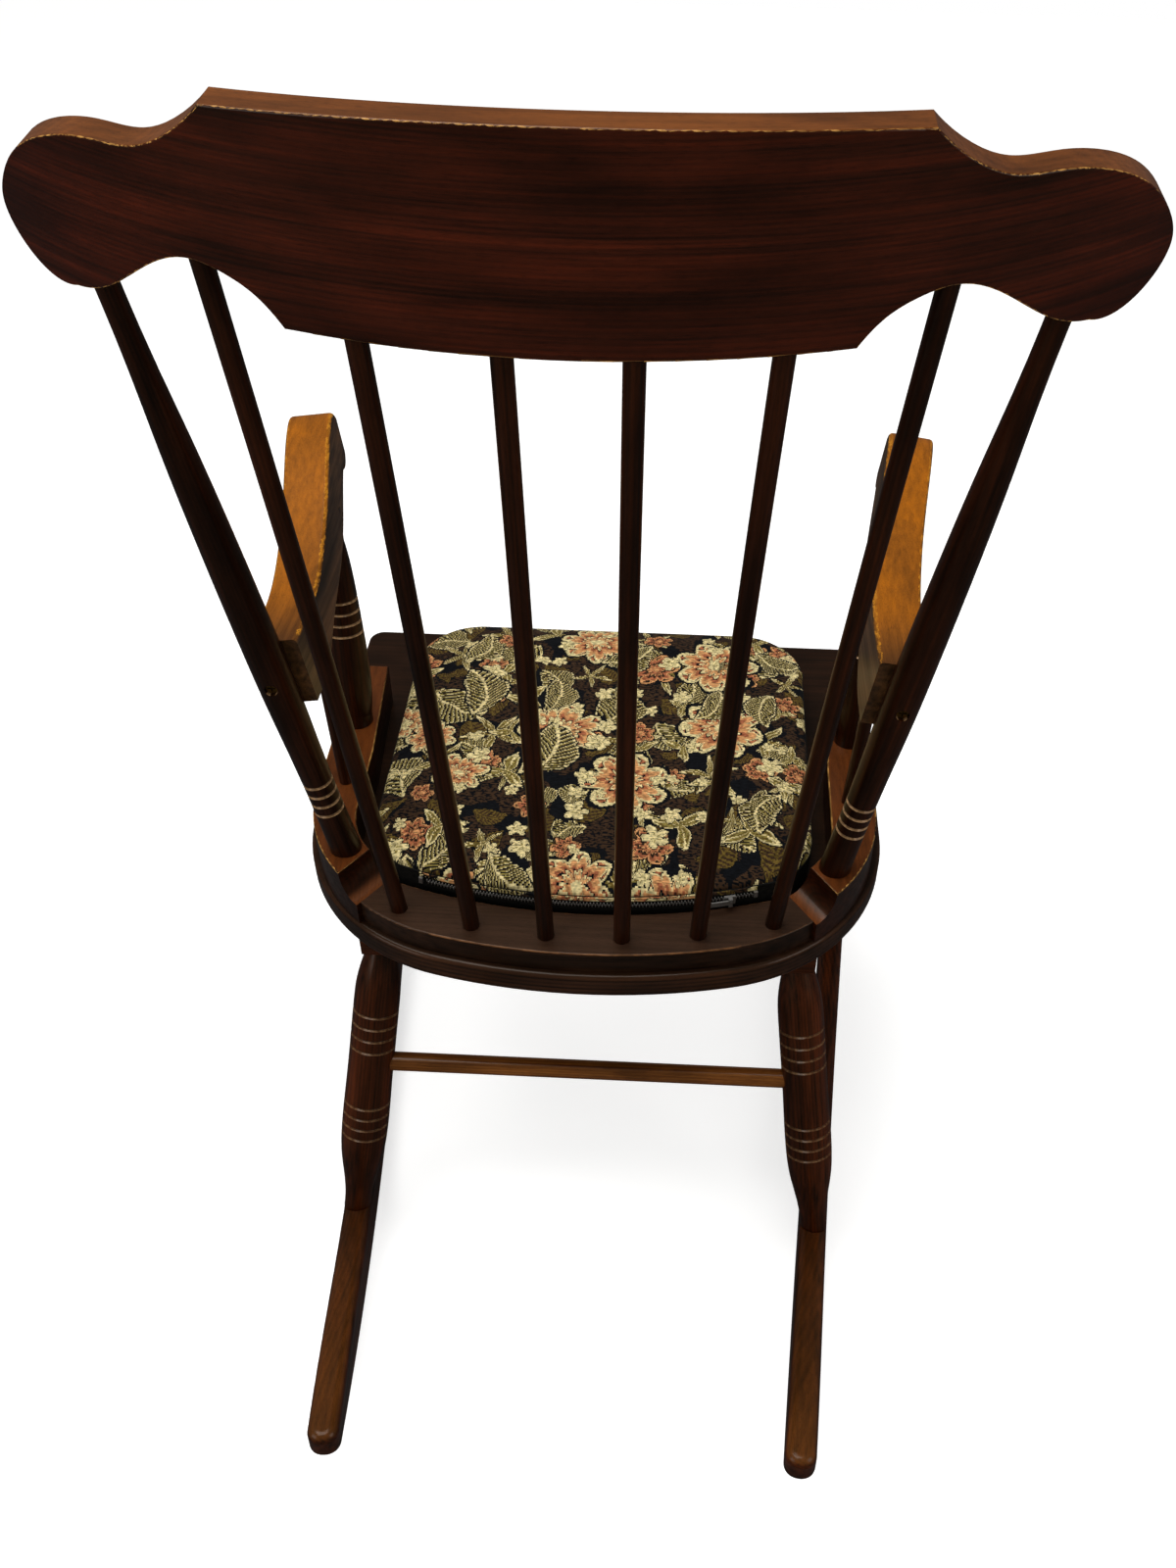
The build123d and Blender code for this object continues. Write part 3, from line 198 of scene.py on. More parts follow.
def stained_wood(name, dark, light, rubbed, worn, layered=False, gloss=0.34, line=0.3,
                 rings=0.16):
    """Close grained hardwood, dark stained and satin lacquered.

    The stain sits deeper in the late wood and in the pores, is thin where hands have rubbed it
    and on tops painted paler as lit from above, and is gone on the arrises, where line is the
    least share of bare wood; pale arris and groove lines are partly a painted highlight.
    rings is how clearly the growth rings show. Pores and fibres are drawn several times
    as coarse as beech has them, so that they show.
    """
    wood = bpy.context.scene.chair_wood
    made, add = new_material(name)
    grain = add("Attribute", out="Vector", attribute_name="grain")
    # rubbed holds hand wear, and on crest, rim and blocks a painted lit top
    rub = add("Attribute", out="Fac", attribute_name="rubbed")
    edge = add("Attribute", out="Fac", attribute_name="worn")

    def stretched(across, along, detail, seed):
        """Noise with cells of that size in millimetres, long along the grain."""
        scaled = add("Mapping", {
            "Vector": grain, "Location": (seed, seed, seed),
            "Scale": (1 / (across * MM), 1 / (across * MM), 1 / (along * MM)),
        })
        return add("TexNoise", {"Vector": scaled, "Scale": 1.0, "Detail": detail})

    # the wave texture repeats every tenth of pi at a scale of 1
    tree_rings = add(
        "TexWave",
        {
            "Vector": add("Mapping", {"Vector": grain, "Scale": (1, 1, 0.05)}),
            "Scale": math.pi / 10 / (wood.layer_pitch if layered else wood.ring_pitch),
            "Distortion": 0.5 if layered else 2.2,
            "Detail": 2.0,
            "Detail Scale": 0.12,
        },
        out="Fac",
        wave_type="BANDS" if layered else "RINGS",
        bands_direction="Y",
        rings_direction="Z",
    )
    pore_mm = wood.pore_pitch / MM
    pores = stretched(0.5 * pore_mm, 9 * pore_mm, 1.0, 1.7)
    fibres = stretched(pore_mm, 40 * pore_mm, 3.0, 2.9)
    streaks = stretched(4.0, 190.0, 4.0, 5.3)
    blotch = stretched(32.0, 120.0, 3.0, 9.1)
    chips = stretched(2.5, 9.0, 4.0, 3.9)

    # stain: early and late wood, in uneven patches
    fine = add("Math MULTIPLY_ADD", [fibres, 0.45, streaks])
    early = add("Math MULTIPLY_ADD", [tree_rings, rings, fine])
    share = add("MapRange", [early, 0.52, 0.98 + 0.5 * rings, 0.0, 1.0])
    body = add("Mix", {0: share, 6: dark, 7: light}, 2, data_type="RGBA")
    patch = add("MapRange", [blotch, 0.32, 0.68, 0.5, 1.5])
    body = add("VectorMath SCALE", {0: body, "Scale": patch})

    # thin stain where it is rubbed, which on crest, rim and blocks is a painted lit top; dark
    # pores through both
    late_rubbed = tuple(0.6 * c for c in rubbed)
    thin = add("Mix", {0: share, 6: late_rubbed, 7: rubbed}, 2, data_type="RGBA")
    uneven = add("MapRange", [blotch, 0.3, 0.55, 0.6, 1.0])
    uneven = add("Math MULTIPLY", [rub, uneven])
    body = add("Mix", {0: uneven, 6: body, 7: thin}, 2, data_type="RGBA")
    pore_shade = add("MapRange", [pores, 0.3, 0.45, 0.6, 1.0])
    body = add("VectorMath SCALE", {0: body, "Scale": pore_shade})

    # bare wood on the arrises and up-facing groove sides; on the seat, rim and turnings this pale
    # line is partly a painted highlight
    bare = add("MapRange", [chips, 0.44, 0.6, line, 1.0])
    bare = add("Math MULTIPLY", [edge, bare])
    body = add("Mix", {0: bare, 6: body, 7: worn}, 2, data_type="RGBA")

    relief = add("Bump", {"Height": fibres, "Strength": 0.1, "Distance": 0.1 * MM})
    shader = add("BsdfPrincipled", {
        "Base Color": body,
        "Roughness": add("MapRange", [streaks, 0.3, 0.7, gloss + 0.1, gloss]),
        "Normal": relief,
        "Specular IOR Level": 0.25,
        "Specular Tint": colour("#ffcfa0"),
        "Coat Weight": 0.3,
        "Coat Roughness": 0.16,
    })
    add("OutputMaterial", {"Surface": shader})
    return made


def plain_metal(name, base, roughness, metallic=1.0):
    """Metal with faint rubbing marks about a millimetre apart."""
    made, add = new_material(name)
    place = add("TexCoord", out="Object")
    marks = add("TexNoise", {"Vector": place, "Scale": 1 / (1.111 * MM), "Detail": 3.0})
    rough = add(
        "MapRange",
        {"Value": marks, "To Min": roughness - 0.08, "To Max": roughness + 0.12},
    )
    dulled = tuple(0.75 * c for c in base)
    tone = add("Mix", {0: marks, 6: dulled, 7: base}, 2, data_type="RGBA")
    shader = add(
        "BsdfPrincipled", {"Base Color": tone, "Roughness": rough, "Metallic": metallic}
    )
    add("OutputMaterial", {"Surface": shader})
    return made


# ---------------------------------------------------------------- mesh helpers
def deselect():
    """Nothing selected, nothing active."""
    bpy.ops.object.select_all(action="DESELECT")
    bpy.context.view_layer.objects.active = None


def copied(node_name, body):
    """A copy of a CAD piece that stands for it and can carry its own patterns."""
    deselect()
    source = frame["nodes"][node_name]
    source.select_set(True)
    bpy.context.view_layer.objects.active = source
    bpy.ops.object.duplicate(linked=False)
    piece = bpy.context.view_layer.objects.active
    piece.parent = None
    del piece["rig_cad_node"]
    del piece["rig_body"]
    piece.name = node_name + "_dressed"
    piece.data.name = piece.name
    piece.data.materials.clear()
    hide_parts(node_name)
    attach(piece, body)
    return piece


def write_attribute(mesh, name, domain, values):
    """Stores a number or a place of each point, corner or face for the material."""
    kind, field = ("FLOAT", "value") if values.ndim == 1 else ("FLOAT_VECTOR", "vector")
    layer = mesh.attributes.new(name, kind, domain)
    layer.data.foreach_set(field, np.ascontiguousarray(values, dtype=np.float32).ravel())


def read(items, field):
    """A field of all vertices, corners or faces as an array."""
    whole = field in ("vertex_index", "loop_start")
    values = np.empty(len(items) * (1 if whole else 3), np.int32 if whole else np.float32)
    items.foreach_get(field, values)
    return values if whole else values.reshape(-1, 3)


def places(mesh):
    """Vertex places as an array."""
    return read(mesh.vertices, "co")


def refinish(names, material):
    """Gives CAD pieces that are shown as they are their finish."""
    for name in names:
        mesh = frame["nodes"][name].data
        mesh.materials.clear()
        mesh.materials.append(material)


# how far beside a piece, and before its middle, the pith of its log may lie
PITH_BESIDE = (12 * MM, 30 * MM)
PITH_BEFORE = (0, 2)
# the least turn between two corners of a face that makes it an arris
ARRIS_TURN = math.radians(8)
# how far a groove's side leans towards the turning's axis; only sides that face up are marked,
# partly a painted highlight
GROOVE_LEAN = (0.55, 0.9)


def lay_grain(piece, seed, along=None, across=None, bend=None):
    """Wood coordinates: Z along the grain, X and Y from a pith that lies beside the piece.

    along is the grain's direction, by default the piece's longest, and across a way
    square to it; bend is the centre and up direction of a rail whose grain is curved.
    Returns the grain's direction where it is straight.
    """
    chance = random.Random(seed)
    co = places(piece.data).astype(float)
    if bend is not None:
        centre, up = (np.array(v, float) for v in bend)
        away = co - centre
        height = away @ up
        flat = away - np.outer(height, up)
        radius = np.linalg.norm(flat, axis=1)
        turn = np.arctan2(flat[:, 0], flat[:, 1])
        local = np.column_stack([radius - radius.mean(), height, turn * radius.mean()])
    else:
        middle = co.mean(0)
        if along is None:
            _, _, axes = np.linalg.svd(co - middle, full_matrices=False)
            along = axes[0] * (1 if axes[0][2] >= 0 else -1)
        along = Vector(along).normalized()
        if across is None:
            across = Vector((1, 0, 0)).cross(along)
        if Vector(across).length < 0.3:
            across = Vector((0, 1, 0)).cross(along)
        across = Vector(across).normalized()
        frame_axes = np.array([across.cross(along), across, along])
        local = (co - middle) @ frame_axes.T
    pith = [chance.uniform(*room) for room in (PITH_BESIDE, PITH_BESIDE, PITH_BEFORE)]
    write_attribute(piece.data, "grain", "POINT", local + pith)
    return Vector(along) if bend is None else None


def note_wear(piece, arris, rub=0.0, rub_lean=(0.35, 0.85), rub_run=None, axis=None,
              groove=1.0):
    """Marks where the stain has gone.

    arris is the largest edge radius that counts as worn, rub the share of thin stain on faces
    that look up as much as rub_lean says, which on crest, rim and blocks is a painted lit top,
    rub_run limits it to a stretch in Y, axis is a turning's axis and groove how bare the sides
    of its grooves are that face up along it, partly a painted highlight.
    """
    mesh = piece.data
    co = places(mesh)
    normals = read(mesh.corner_normals, "vector")
    vertex = read(mesh.loops, "vertex_index")
    starts = read(mesh.polygons, "loop_start")
    worn = np.zeros(len(starts))
    for a, b in ((0, 1), (1, 2), (2, 0)):
        one, two = starts + a, starts + b
        turn = np.arccos(np.clip((normals[one] * normals[two]).sum(1), -1, 1))
        gap = np.linalg.norm(co[vertex[one]] - co[vertex[two]], axis=1)
        radius = gap / np.maximum(turn, 1e-6)
        worn = np.maximum(worn, (turn > ARRIS_TURN) & (radius < arris))
    if axis is not None:
        # the groove sides that face up along the axis are painted pale: partly cut through the
        # stain, partly a painted highlight
        lean = read(mesh.polygons, "normal") @ np.array(axis)
        worn = np.maximum(worn, groove * ((lean > GROOVE_LEAN[0]) & (lean < GROOVE_LEAN[1])))
    write_attribute(mesh, "worn", "FACE", worn)
    # faces that look up take the thin-stain tone: hand wear on arms and rockers, a painted lit
    # top on crest, rim and blocks
    looks_up = smooth_step(normals[:, 2], *rub_lean) * rub
    if rub_run is not None:
        run = co[vertex][:, 1]
        looks_up *= np.clip((run - rub_run[0]) / (rub_run[1] - rub_run[0]), 0, 1)
    write_attribute(mesh, "rubbed", "CORNER", looks_up)


def dress(names, material, slot_name, seed, arris=2.0 * MM, rub=0.0, rub_lean=(0.35, 0.85),
          rub_run=None, turned=False, groove=1.0, **grain):
    """Copies CAD pieces and gives them grain, wear, painted lit tops and highlights, and a stain.
    """
    for step, name in enumerate(names):
        piece = copied(name, "chair")
        axis = lay_grain(piece, seed + step, **grain)
        note_wear(piece, arris, rub, rub_lean, rub_run, axis if turned else None, groove)
        piece.data.materials.append(material)


# ---------------------------------------------------------------- cushion helpers
class SeatFrame:
    """Places measured across, along and over the seat board."""

    tilt = math.radians(5.0)
    origin = np.array([0.0, -0.078, 0.3675])
    rearward = np.array([0.0, math.cos(tilt), -math.sin(tilt)])
    normal = np.array([0.0, math.sin(tilt), math.cos(tilt)])

    @classmethod
    def measure(cls, points):
        """Columns: across, along, over."""
        away = np.asarray(points, float) - cls.origin
        return np.column_stack([away[:, 0], away @ cls.rearward, away @ cls.normal])

    @classmethod
    def place(cls, across, along, over):
        """World points of seat measures."""
        side = np.multiply.outer(across, [1.0, 0.0, 0.0])
        run = np.multiply.outer(along, cls.rearward)
        rise = np.multiply.outer(over, cls.normal)
        return cls.origin + side + run + rise


class Outline:
    """The cushion's widest line, for distances from it and lengths along it.

    points are evenly spaced on it, with their outward normals and how far they have run.
    """

    STEPS = 720

    def __init__(self, piece):
        flat = SeatFrame.measure(places(piece.data))[:, :2]
        hull = self.hull_of(self.farthest_of(flat))
        gaps = np.hypot(*np.diff(hull, axis=0).T)
        run = np.concatenate([[0], np.cumsum(gaps)])
        self.run = np.linspace(0, run[-1], self.STEPS, endpoint=False)
        self.points = np.column_stack([np.interp(self.run, run, side) for side in hull.T])
        ways = np.roll(self.points, -1, 0) - np.roll(self.points, 1, 0)
        ways /= np.linalg.norm(ways, axis=1)[:, None]
        self.normals = np.column_stack([ways[:, 1], -ways[:, 0]])
        self.tree = KDTree(len(self.points))
        for number, (across, along) in enumerate(self.points):
            self.tree.insert((across, along, 0), number)
        self.tree.balance()

    def farthest_of(self, flat):
        """The farthest place from the middle in each sector."""
        away = flat - (flat.max(0) + flat.min(0)) / 2
        reach = np.hypot(away[:, 0], away[:, 1])
        turn = np.arctan2(away[:, 1], away[:, 0])
        sector = ((turn + math.pi) / (2 * math.pi) * self.STEPS).astype(int) % self.STEPS
        return np.array([
            flat[sector == s][reach[sector == s].argmax()]
            for s in range(self.STEPS) if (sector == s).any()
        ])

    @staticmethod
    def hull_of(ring):
        """The ring without its hollows, closed."""
        hull = []
        for point in np.vstack([ring, ring[:2]]):
            while len(hull) > 1:
                one, two = hull[-1] - hull[-2], point - hull[-1]
                if one[0] * two[1] - one[1] * two[0] > 0:
                    break
                hull.pop()
            hull.append(point)
        return np.array(hull)

    def measure(self, piece):
        """Seat measures of each vertex, its nearest outline point and how far inside it is."""
        measures = SeatFrame.measure(places(piece.data))
        flat = measures[:, :2]
        nearest = np.array([self.tree.find((a, b, 0))[1] for a, b in flat])
        away = flat - self.points[nearest]
        return measures, nearest, -(away * self.normals[nearest]).sum(1)


def apply_modifier(piece, kind, **settings):
    """Adds a modifier with its settings and applies it."""
    bpy.context.view_layer.objects.active = piece
    piece.select_set(True)
    bpy.ops.object.modifier_add(type=kind)
    modifier = piece.modifiers[-1]
    for name, value in settings.items():
        setattr(modifier, name, value)
    bpy.ops.object.modifier_apply(modifier=modifier.name)


def move_points(piece, points):
    """Writes new vertex places."""
    piece.data.vertices.foreach_set("co", np.ascontiguousarray(points, np.float32).ravel())
    piece.data.update()


def smooth_step(values, low, high):
    """0 at low, 1 at high and soft between."""
    share = np.clip((values - low) / (high - low), 0, 1)
    return share * share * (3 - 2 * share)


# ---------------------------------------------------------------- tapestry
def motif_cells(add, place, pitch, shift, share):
    """One motif in each cell of a scattered grid.

    Gives the place inside the motif, from -1 to 1 each way and turned at random, its
    distance and angle from the motif's middle, and there, which is 1 in the share of
    the cells that have a motif.
    """
    scaled = add(
        "Mapping", {"Vector": place, "Location": shift, "Scale": (1 / pitch, 1 / pitch, 1)}
    )
    grid = {"Vector": scaled, "Scale": 1.0, "Randomness": 0.8}
    cell = add("TexVoronoi", grid, voronoi_dimensions="2D").node
    room = add(
        "TexVoronoi", grid, "Radius", voronoi_dimensions="2D", feature="N_SPHERE_RADIUS"
    )
    away = add("VectorMath SUBTRACT", [scaled, cell.outputs["Position"]])
    room = add("Math MAXIMUM", [room, 0.25])
    grown = add("Math DIVIDE", [1.0, room])
    inside = add("VectorMath SCALE", {0: away, "Scale": grown})
    chance = add("SeparateColor", [cell.outputs["Color"]]).node.outputs
    spin = add("Math MULTIPLY", [chance[0], 2 * math.pi])
    turned = add("VectorRotate", {"Vector": inside, "Angle": spin}, rotation_type="Z_AXIS")
    x, y, _ = add("SeparateXYZ", [turned]).node.outputs
    square = add("Math MULTIPLY", [y, y])
    square = add("Math MULTIPLY_ADD", [x, x, square])
    return {
        "x": x,
        "y": y,
        "reach": add("Math SQRT", [square]),
        "angle": add("Math ARCTAN2", [y, x]),
        "there": add("Math LESS_THAN", [chance[1], share]),
    }


def drawn(add, tone, *marks):
    """Lays tones over one another.

    Each mark is a tone, the value and test that say where it goes, and the test's level.
    """
    for over, value, test, level in marks:
        where = add("Math " + test, [value, level])
        tone = add("Mix", {0: where, 6: tone, 7: over}, 2, data_type="RGBA")
    return tone


def spokes(add, cell, count, wave):
    """That many rises from 0 to 1 in a turn round the motif's middle."""
    turn = add("Math MULTIPLY", [cell["angle"], count / 2])
    turn = add("Math " + wave, [turn])
    return add("Math ABSOLUTE", [turn])


def petals(add, cell, count, sharpness):
    """1 along the middle of each petal, 0 between two, with round tips."""
    return add("Math POWER", [spokes(add, cell, count, "COSINE"), sharpness])


# each motif gives how deep inside it a place lies, how far dark ground shows round it, its
# tones, and 1 where it is woven
def rosette(add, cell, tones, count):
    """Pointed leaves that spread from one stalk, each with a pale rim and midrib.

    tones are its ground, rim, leaf and fold. lobe is 1 along a leaf's middle.
    """
    _, rim, blade, fold = tones
    lobe = add("Math SUBTRACT", [1.0, spokes(add, cell, count, "SINE")])
    edge = add("Math MULTIPLY_ADD", [lobe, 0.95, 0.12])
    depth = add("Math SUBTRACT", [edge, cell["reach"]])
    fan = add("Math MULTIPLY", [lobe, -2.0])
    veins = add("Math MULTIPLY_ADD", [cell["reach"], 4.0, fan])
    veins = add("Math FRACT", [veins])
    tone = drawn(
        add, blade,
        (fold, veins, "GREATER_THAN", 0.6),
        (rim, depth, "LESS_THAN", 0.1),
        (rim, lobe, "GREATER_THAN", 0.93),
    )
    return depth, 0.1, tone, cell["there"]


def bloom(add, cell, tones, count, size, hollow, ruffles):
    """A flower of rimmed petals in tiers.

    tones are its ground, rim, petal and shade; hollow is how far the gaps between the
    petals come out from the heart.
    """
    ground, rim, petal, shade = tones
    outer = petals(add, cell, count, 0.7)
    edge = add("Math MULTIPLY_ADD", [outer, size * (1 - hollow), size * hollow])
    depth = add("Math SUBTRACT", [edge, cell["reach"]])
    small = petals(add, cell, 2 * count + 1, 0.8)
    fold = add("Math MULTIPLY", [outer, 0.55])
    fold = add("Math MULTIPLY_ADD", [small, 0.5, fold])
    tier = add("Math MULTIPLY_ADD", [cell["reach"], -ruffles, fold])
    tier = add("Math FRACT", [tier])
    tone = drawn(
        add, rim,
        (petal, tier, "GREATER_THAN", 0.17),
        (shade, tier, "GREATER_THAN", 0.62),
        (ground, tier, "GREATER_THAN", 0.88),
        (rim, depth, "LESS_THAN", 0.1 * size),
        (rim, cell["reach"], "LESS_THAN", 0.16 * size),
    )
    return depth, 0.09, tone, cell["there"]


def leaf(add, cell, tones, veins, feathered=False, width=0.62):
    """A bent leaf with slanting veins; a feathered one is open between its leaflets.

    tones are its ground, rim, dark and light.
    """
    _, rim, dark, light = tones
    blade = cell["there"]
    bow = add("Math MULTIPLY", [cell["x"], 0.45])
    bend = add("Math MULTIPLY_ADD", [cell["x"], bow, -0.2])
    across = add("Math SUBTRACT", [cell["y"], bend])
    across = add("Math ABSOLUTE", [across])
    taper = add("Math ABSOLUTE", [cell["x"]])
    taper = add("Math POWER", [taper, 2.2])
    taper = add("Math SUBTRACT", [1.0, taper])
    taper = add("Math MULTIPLY", [taper, width])
    depth = add("Math SUBTRACT", [taper, across])
    slant = add("Math MULTIPLY", [cell["x"], veins])
    stripe = add("Math MULTIPLY_ADD", [across, -veins * 0.8, slant])
    stripe = add("Math FRACT", [stripe])
    tone = drawn(
        add, dark,
        (light, stripe, "GREATER_THAN", 0.5),
        (rim, stripe, "GREATER_THAN", 0.84),
        (rim, depth, "LESS_THAN", 0.06),
        (rim, across, "LESS_THAN", 0.04),
    )
    if feathered:
        leaflet = add("Math GREATER_THAN", [stripe, 0.36])
        midrib = add("Math LESS_THAN", [across, 0.06])
        solid = add("Math MAXIMUM", [leaflet, midrib])
        blade = add("Math MULTIPLY", [blade, solid])
    return depth, 0.06, tone, blade


def tapestry_cloth(settings):
    """Jacquard tapestry: leaves and blooms in cream, olive and peach on a dark ground.

    Each colour changes from one weft thread to the next, which gives the motifs their
    ragged sides and the cloth its fine crosswise ribs; the side band is plain dark rep.
    The threads are drawn about twice as coarse as real ones, so that they show.
    """
    made, add = new_material("floral_jacquard_tapestry")
    cloth = add("Attribute", out="Vector", attribute_name="cloth")
    over_seam = add("Attribute", out="Fac", attribute_name="over_seam")
    thread = settings.thread

    # rows of weft thread, each shifted a little from the next
    across, along, _ = add("SeparateXYZ", [cloth]).node.outputs
    row = add("Math SNAP", [along, thread])
    rows = add("CombineXYZ", [across, row])
    strokes = add(
        "TexNoise",
        {
            "Vector": add("Mapping", {"Vector": rows, "Scale": (0.26 / thread, 0.8 / thread, 1)}),
            "Scale": 1.0,
            "Detail": 1.0,
        },
        noise_dimensions="2D",
    )
    drift = add(
        "TexNoise", {"Vector": rows, "Scale": 1 / (23.81 * MM), "Detail": 2.0}, "Color",
        noise_dimensions="2D",
    )
    drift = add("VectorMath SUBTRACT", [drift, (0.5, 0.5, 0.5)])
    drift = add("VectorMath SCALE", {0: drift, "Scale": 9 * MM})
    slip = add("CombineXYZ", [
        add("Math MULTIPLY_ADD", [strokes, threads * thread, -threads * thread / 2])
        for threads in (2.8, 1.2)
    ])
    place = add("VectorMath ADD", [rows, drift])
    place = add("VectorMath ADD", [place, slip])

    # black navy ground with brown patches
    patch = add(
        "TexNoise", {"Vector": place, "Scale": 1 / (38.46 * MM), "Detail": 1.0},
        noise_dimensions="2D",
    )
    patch = add("Math GREATER_THAN", [patch, 0.42])
    ripple = add("Math GREATER_THAN", [strokes, 0.47])
    patch = add("Math MULTIPLY", [patch, ripple])
    ground, cream = settings.ground, settings.cream
    earth, olive, sage = settings.earth, settings.olive, settings.sage
    tone = add("Mix", {0: patch, 6: ground, 7: earth}, 2, data_type="RGBA")

    leaf_green = (ground, cream, olive, sage)
    dull_green = (ground, olive, earth, olive)
    pale_green = (ground, cream, sage, olive)
    fern_green = (ground, cream, earth, sage)
    blush = (ground, cream, settings.peach, settings.coral)
    rust = (ground, settings.peach, settings.coral, earth)
    ivory = (ground, cream, cream, sage)
    # from the ground up: dull leaves, ferns, rosettes and pale leaves, then the flowers;
    # each with its spacing in millimetres, its grid's shift, its tones and its share of
    # the cells
    layers = (
        (leaf, 36, (3.1, 7.7, 0), dull_green, 1.0, {"veins": 4.0}),
        (leaf, 62, (11.4, 2.3, 0), fern_green, 0.85,
         {"veins": 6.5, "feathered": True, "width": 0.8}),
        (rosette, 60, (5.9, 13.6, 0), leaf_green, 0.92, {"count": 5}),
        (bloom, 44, (8.2, 4.4, 0), rust, 0.4,
         {"count": 6, "size": 0.95, "hollow": 0.55, "ruffles": 2.4}),
        (rosette, 50, (1.7, 9.2, 0), pale_green, 0.6, {"count": 3}),
        (bloom, 100, (0.35, 0.62, 0), blush, 0.85,
         {"count": 7, "size": 0.88, "hollow": 0.62, "ruffles": 2.6}),
        (bloom, 22, (2.6, 6.1, 0), ivory, 0.26,
         {"count": 5, "size": 1.0, "hollow": 0.4, "ruffles": 0.8}),
        (leaf, 70, (6.6, 1.9, 0), fern_green, 0.3,
         {"veins": 7.5, "feathered": True, "width": 0.6}),
    )
    for motif, pitch, shift, tones, share, form in layers:
        cell = motif_cells(add, place, pitch * MM, shift, share)
        depth, margin, woven, there = motif(add, cell, tones, **form)
        for over, level, shown in ((ground, -margin, cell["there"]), (woven, 0.0, there)):
            where = add("Math GREATER_THAN", [depth, level])
            where = add("Math MULTIPLY", [where, shown])
            tone = add("Mix", {0: where, 6: tone, 7: over}, 2, data_type="RGBA")

    # single threads are lighter and darker; under the top seam the cloth is plain
    shade = add("MapRange", [strokes, 0.3, 0.7, 0.5, 1.35])
    tone = add("VectorMath SCALE", {0: tone, "Scale": shade})
    band = add("VectorMath SCALE", {0: settings.band[:3], "Scale": shade})
    on_top = add("Math GREATER_THAN", [over_seam, 0.0])
    tone = add("Mix", {0: on_top, 6: band, 7: tone}, 2, data_type="RGBA")

    rib = add("Math MULTIPLY", [along, 2 * math.pi / thread])
    rib = add("Math SINE", [rib])
    height = add("Math MULTIPLY_ADD", [rib, 0.25, strokes])
    relief = add("Bump", {"Height": height, "Strength": 0.5, "Distance": 0.35 * MM})
    shader = add("BsdfPrincipled", {
        "Base Color": tone,
        "Roughness": 0.85,
        "Normal": relief,
        "Specular IOR Level": 0.12,
        "Sheen Weight": 0.02,
        "Sheen Roughness": 0.4,
    })
    add("OutputMaterial", {"Surface": shader})
    return made


def woven_trim(name, tone, pitch):
    """Tightly woven trim with a fine uneven weave."""
    made, add = new_material(name)
    place = add("TexCoord", out="Object")
    weave = add("TexNoise", {"Vector": place, "Scale": 1 / pitch, "Detail": 2.0})
    shaded = tuple(0.5 * c for c in tone)
    shade = add("Mix", {0: weave, 6: shaded, 7: tone}, 2, data_type="RGBA")
    relief = add("Bump", {"Height": weave, "Strength": 0.4, "Distance": pitch})
    shader = add("BsdfPrincipled", {
        "Base Color": shade, "Roughness": 0.8, "Normal": relief, "Specular IOR Level": 0.25,
    })
    add("OutputMaterial", {"Surface": shader})
    return made


# ---------------------------------------------------------------- operators
class CHAIR_OT_crest(bpy.types.Operator):
    """Dresses the crest rail, whose grain follows its curve"""

    bl_idname = "chair.crest"
    bl_label = "Crest rail"

    BACK_RADIUS = 500 * MM
    RAKE = math.radians(7.8)
    FOOT = Vector((0, 200 * MM, 850 * MM))

    def execute(self, context):
        wood = context.scene.chair_wood
        # red brown stain under satin lacquer: faces near black with long soft streaks, a top
        # painted paler as lit from above, and a broken golden line along the arrises
        finish = stained_wood(
            "mahogany_stained_beech_crest", wood.crest_dark, wood.crest_light,
            wood.crest_rubbed, wood.worn, gloss=0.36,
        )
        up = Vector((0, math.sin(self.RAKE), math.cos(self.RAKE)))
        rearward = Vector((0, math.cos(self.RAKE), -math.sin(self.RAKE)))
        centre = self.FOOT - rearward * self.BACK_RADIUS
        dress(["crest_rail"], finish, "crest_wood", 3, rub=0.85, bend=(centre, up))
        return {"FINISHED"}


class CHAIR_OT_sticks(bpy.types.Operator):
    """Dresses the posts, spindles and arm supports"""

    bl_idname = "chair.sticks"
    bl_label = "Posts and spindles"

    def execute(self, context):
        wood = context.scene.chair_wood
        # turned beech takes the stain deep: nearly black sticks with narrow highlights, and pale
        # rings on the up-facing groove sides where the tool cut the grooves through the stain,
        # partly a painted highlight
        finish = stained_wood(
            "dark_stained_beech_turnings", wood.turned_dark, wood.turned_light,
            wood.turned_light, wood.groove_worn, gloss=0.3, line=0.5,
        )
        turned = ["back_post_left", "back_post_right", "arm_support_left", "arm_support_right"]
        plain = ["back_spindle_%d" % number for number in range(1, 7)]
        plain += ["arm_spindle_left", "arm_spindle_right"]
        dress(turned, finish, "dark_turned_wood", 20, turned=True)
        dress(plain, finish, "dark_turned_wood", 40)
        return {"FINISHED"}


class CHAIR_OT_arms(bpy.types.Operator):
    """Dresses the arms, golden where hands rub them"""

    bl_idname = "chair.arms"
    bl_label = "Arms"

    def execute(self, context):
        wood = context.scene.chair_wood
        # stain and lacquer are worn off by hands: a warm golden top that turns brown
        # towards the posts, yellow arrises and brown sides with hardly any rings
        finish = stained_wood(
            "rubbed_golden_beech_arms", wood.arm_dark, wood.arm_light,
            wood.arm_rubbed, wood.arm_worn, gloss=0.4, line=0.1, rings=0.03,
        )
        dress(
            ["arm_left", "arm_right"], finish, "arm_wood", 60, arris=4.5 * MM, rub=1.0,
            rub_run=(100 * MM, 0.0), along=(0, 1, 0),
        )
        return {"FINISHED"}


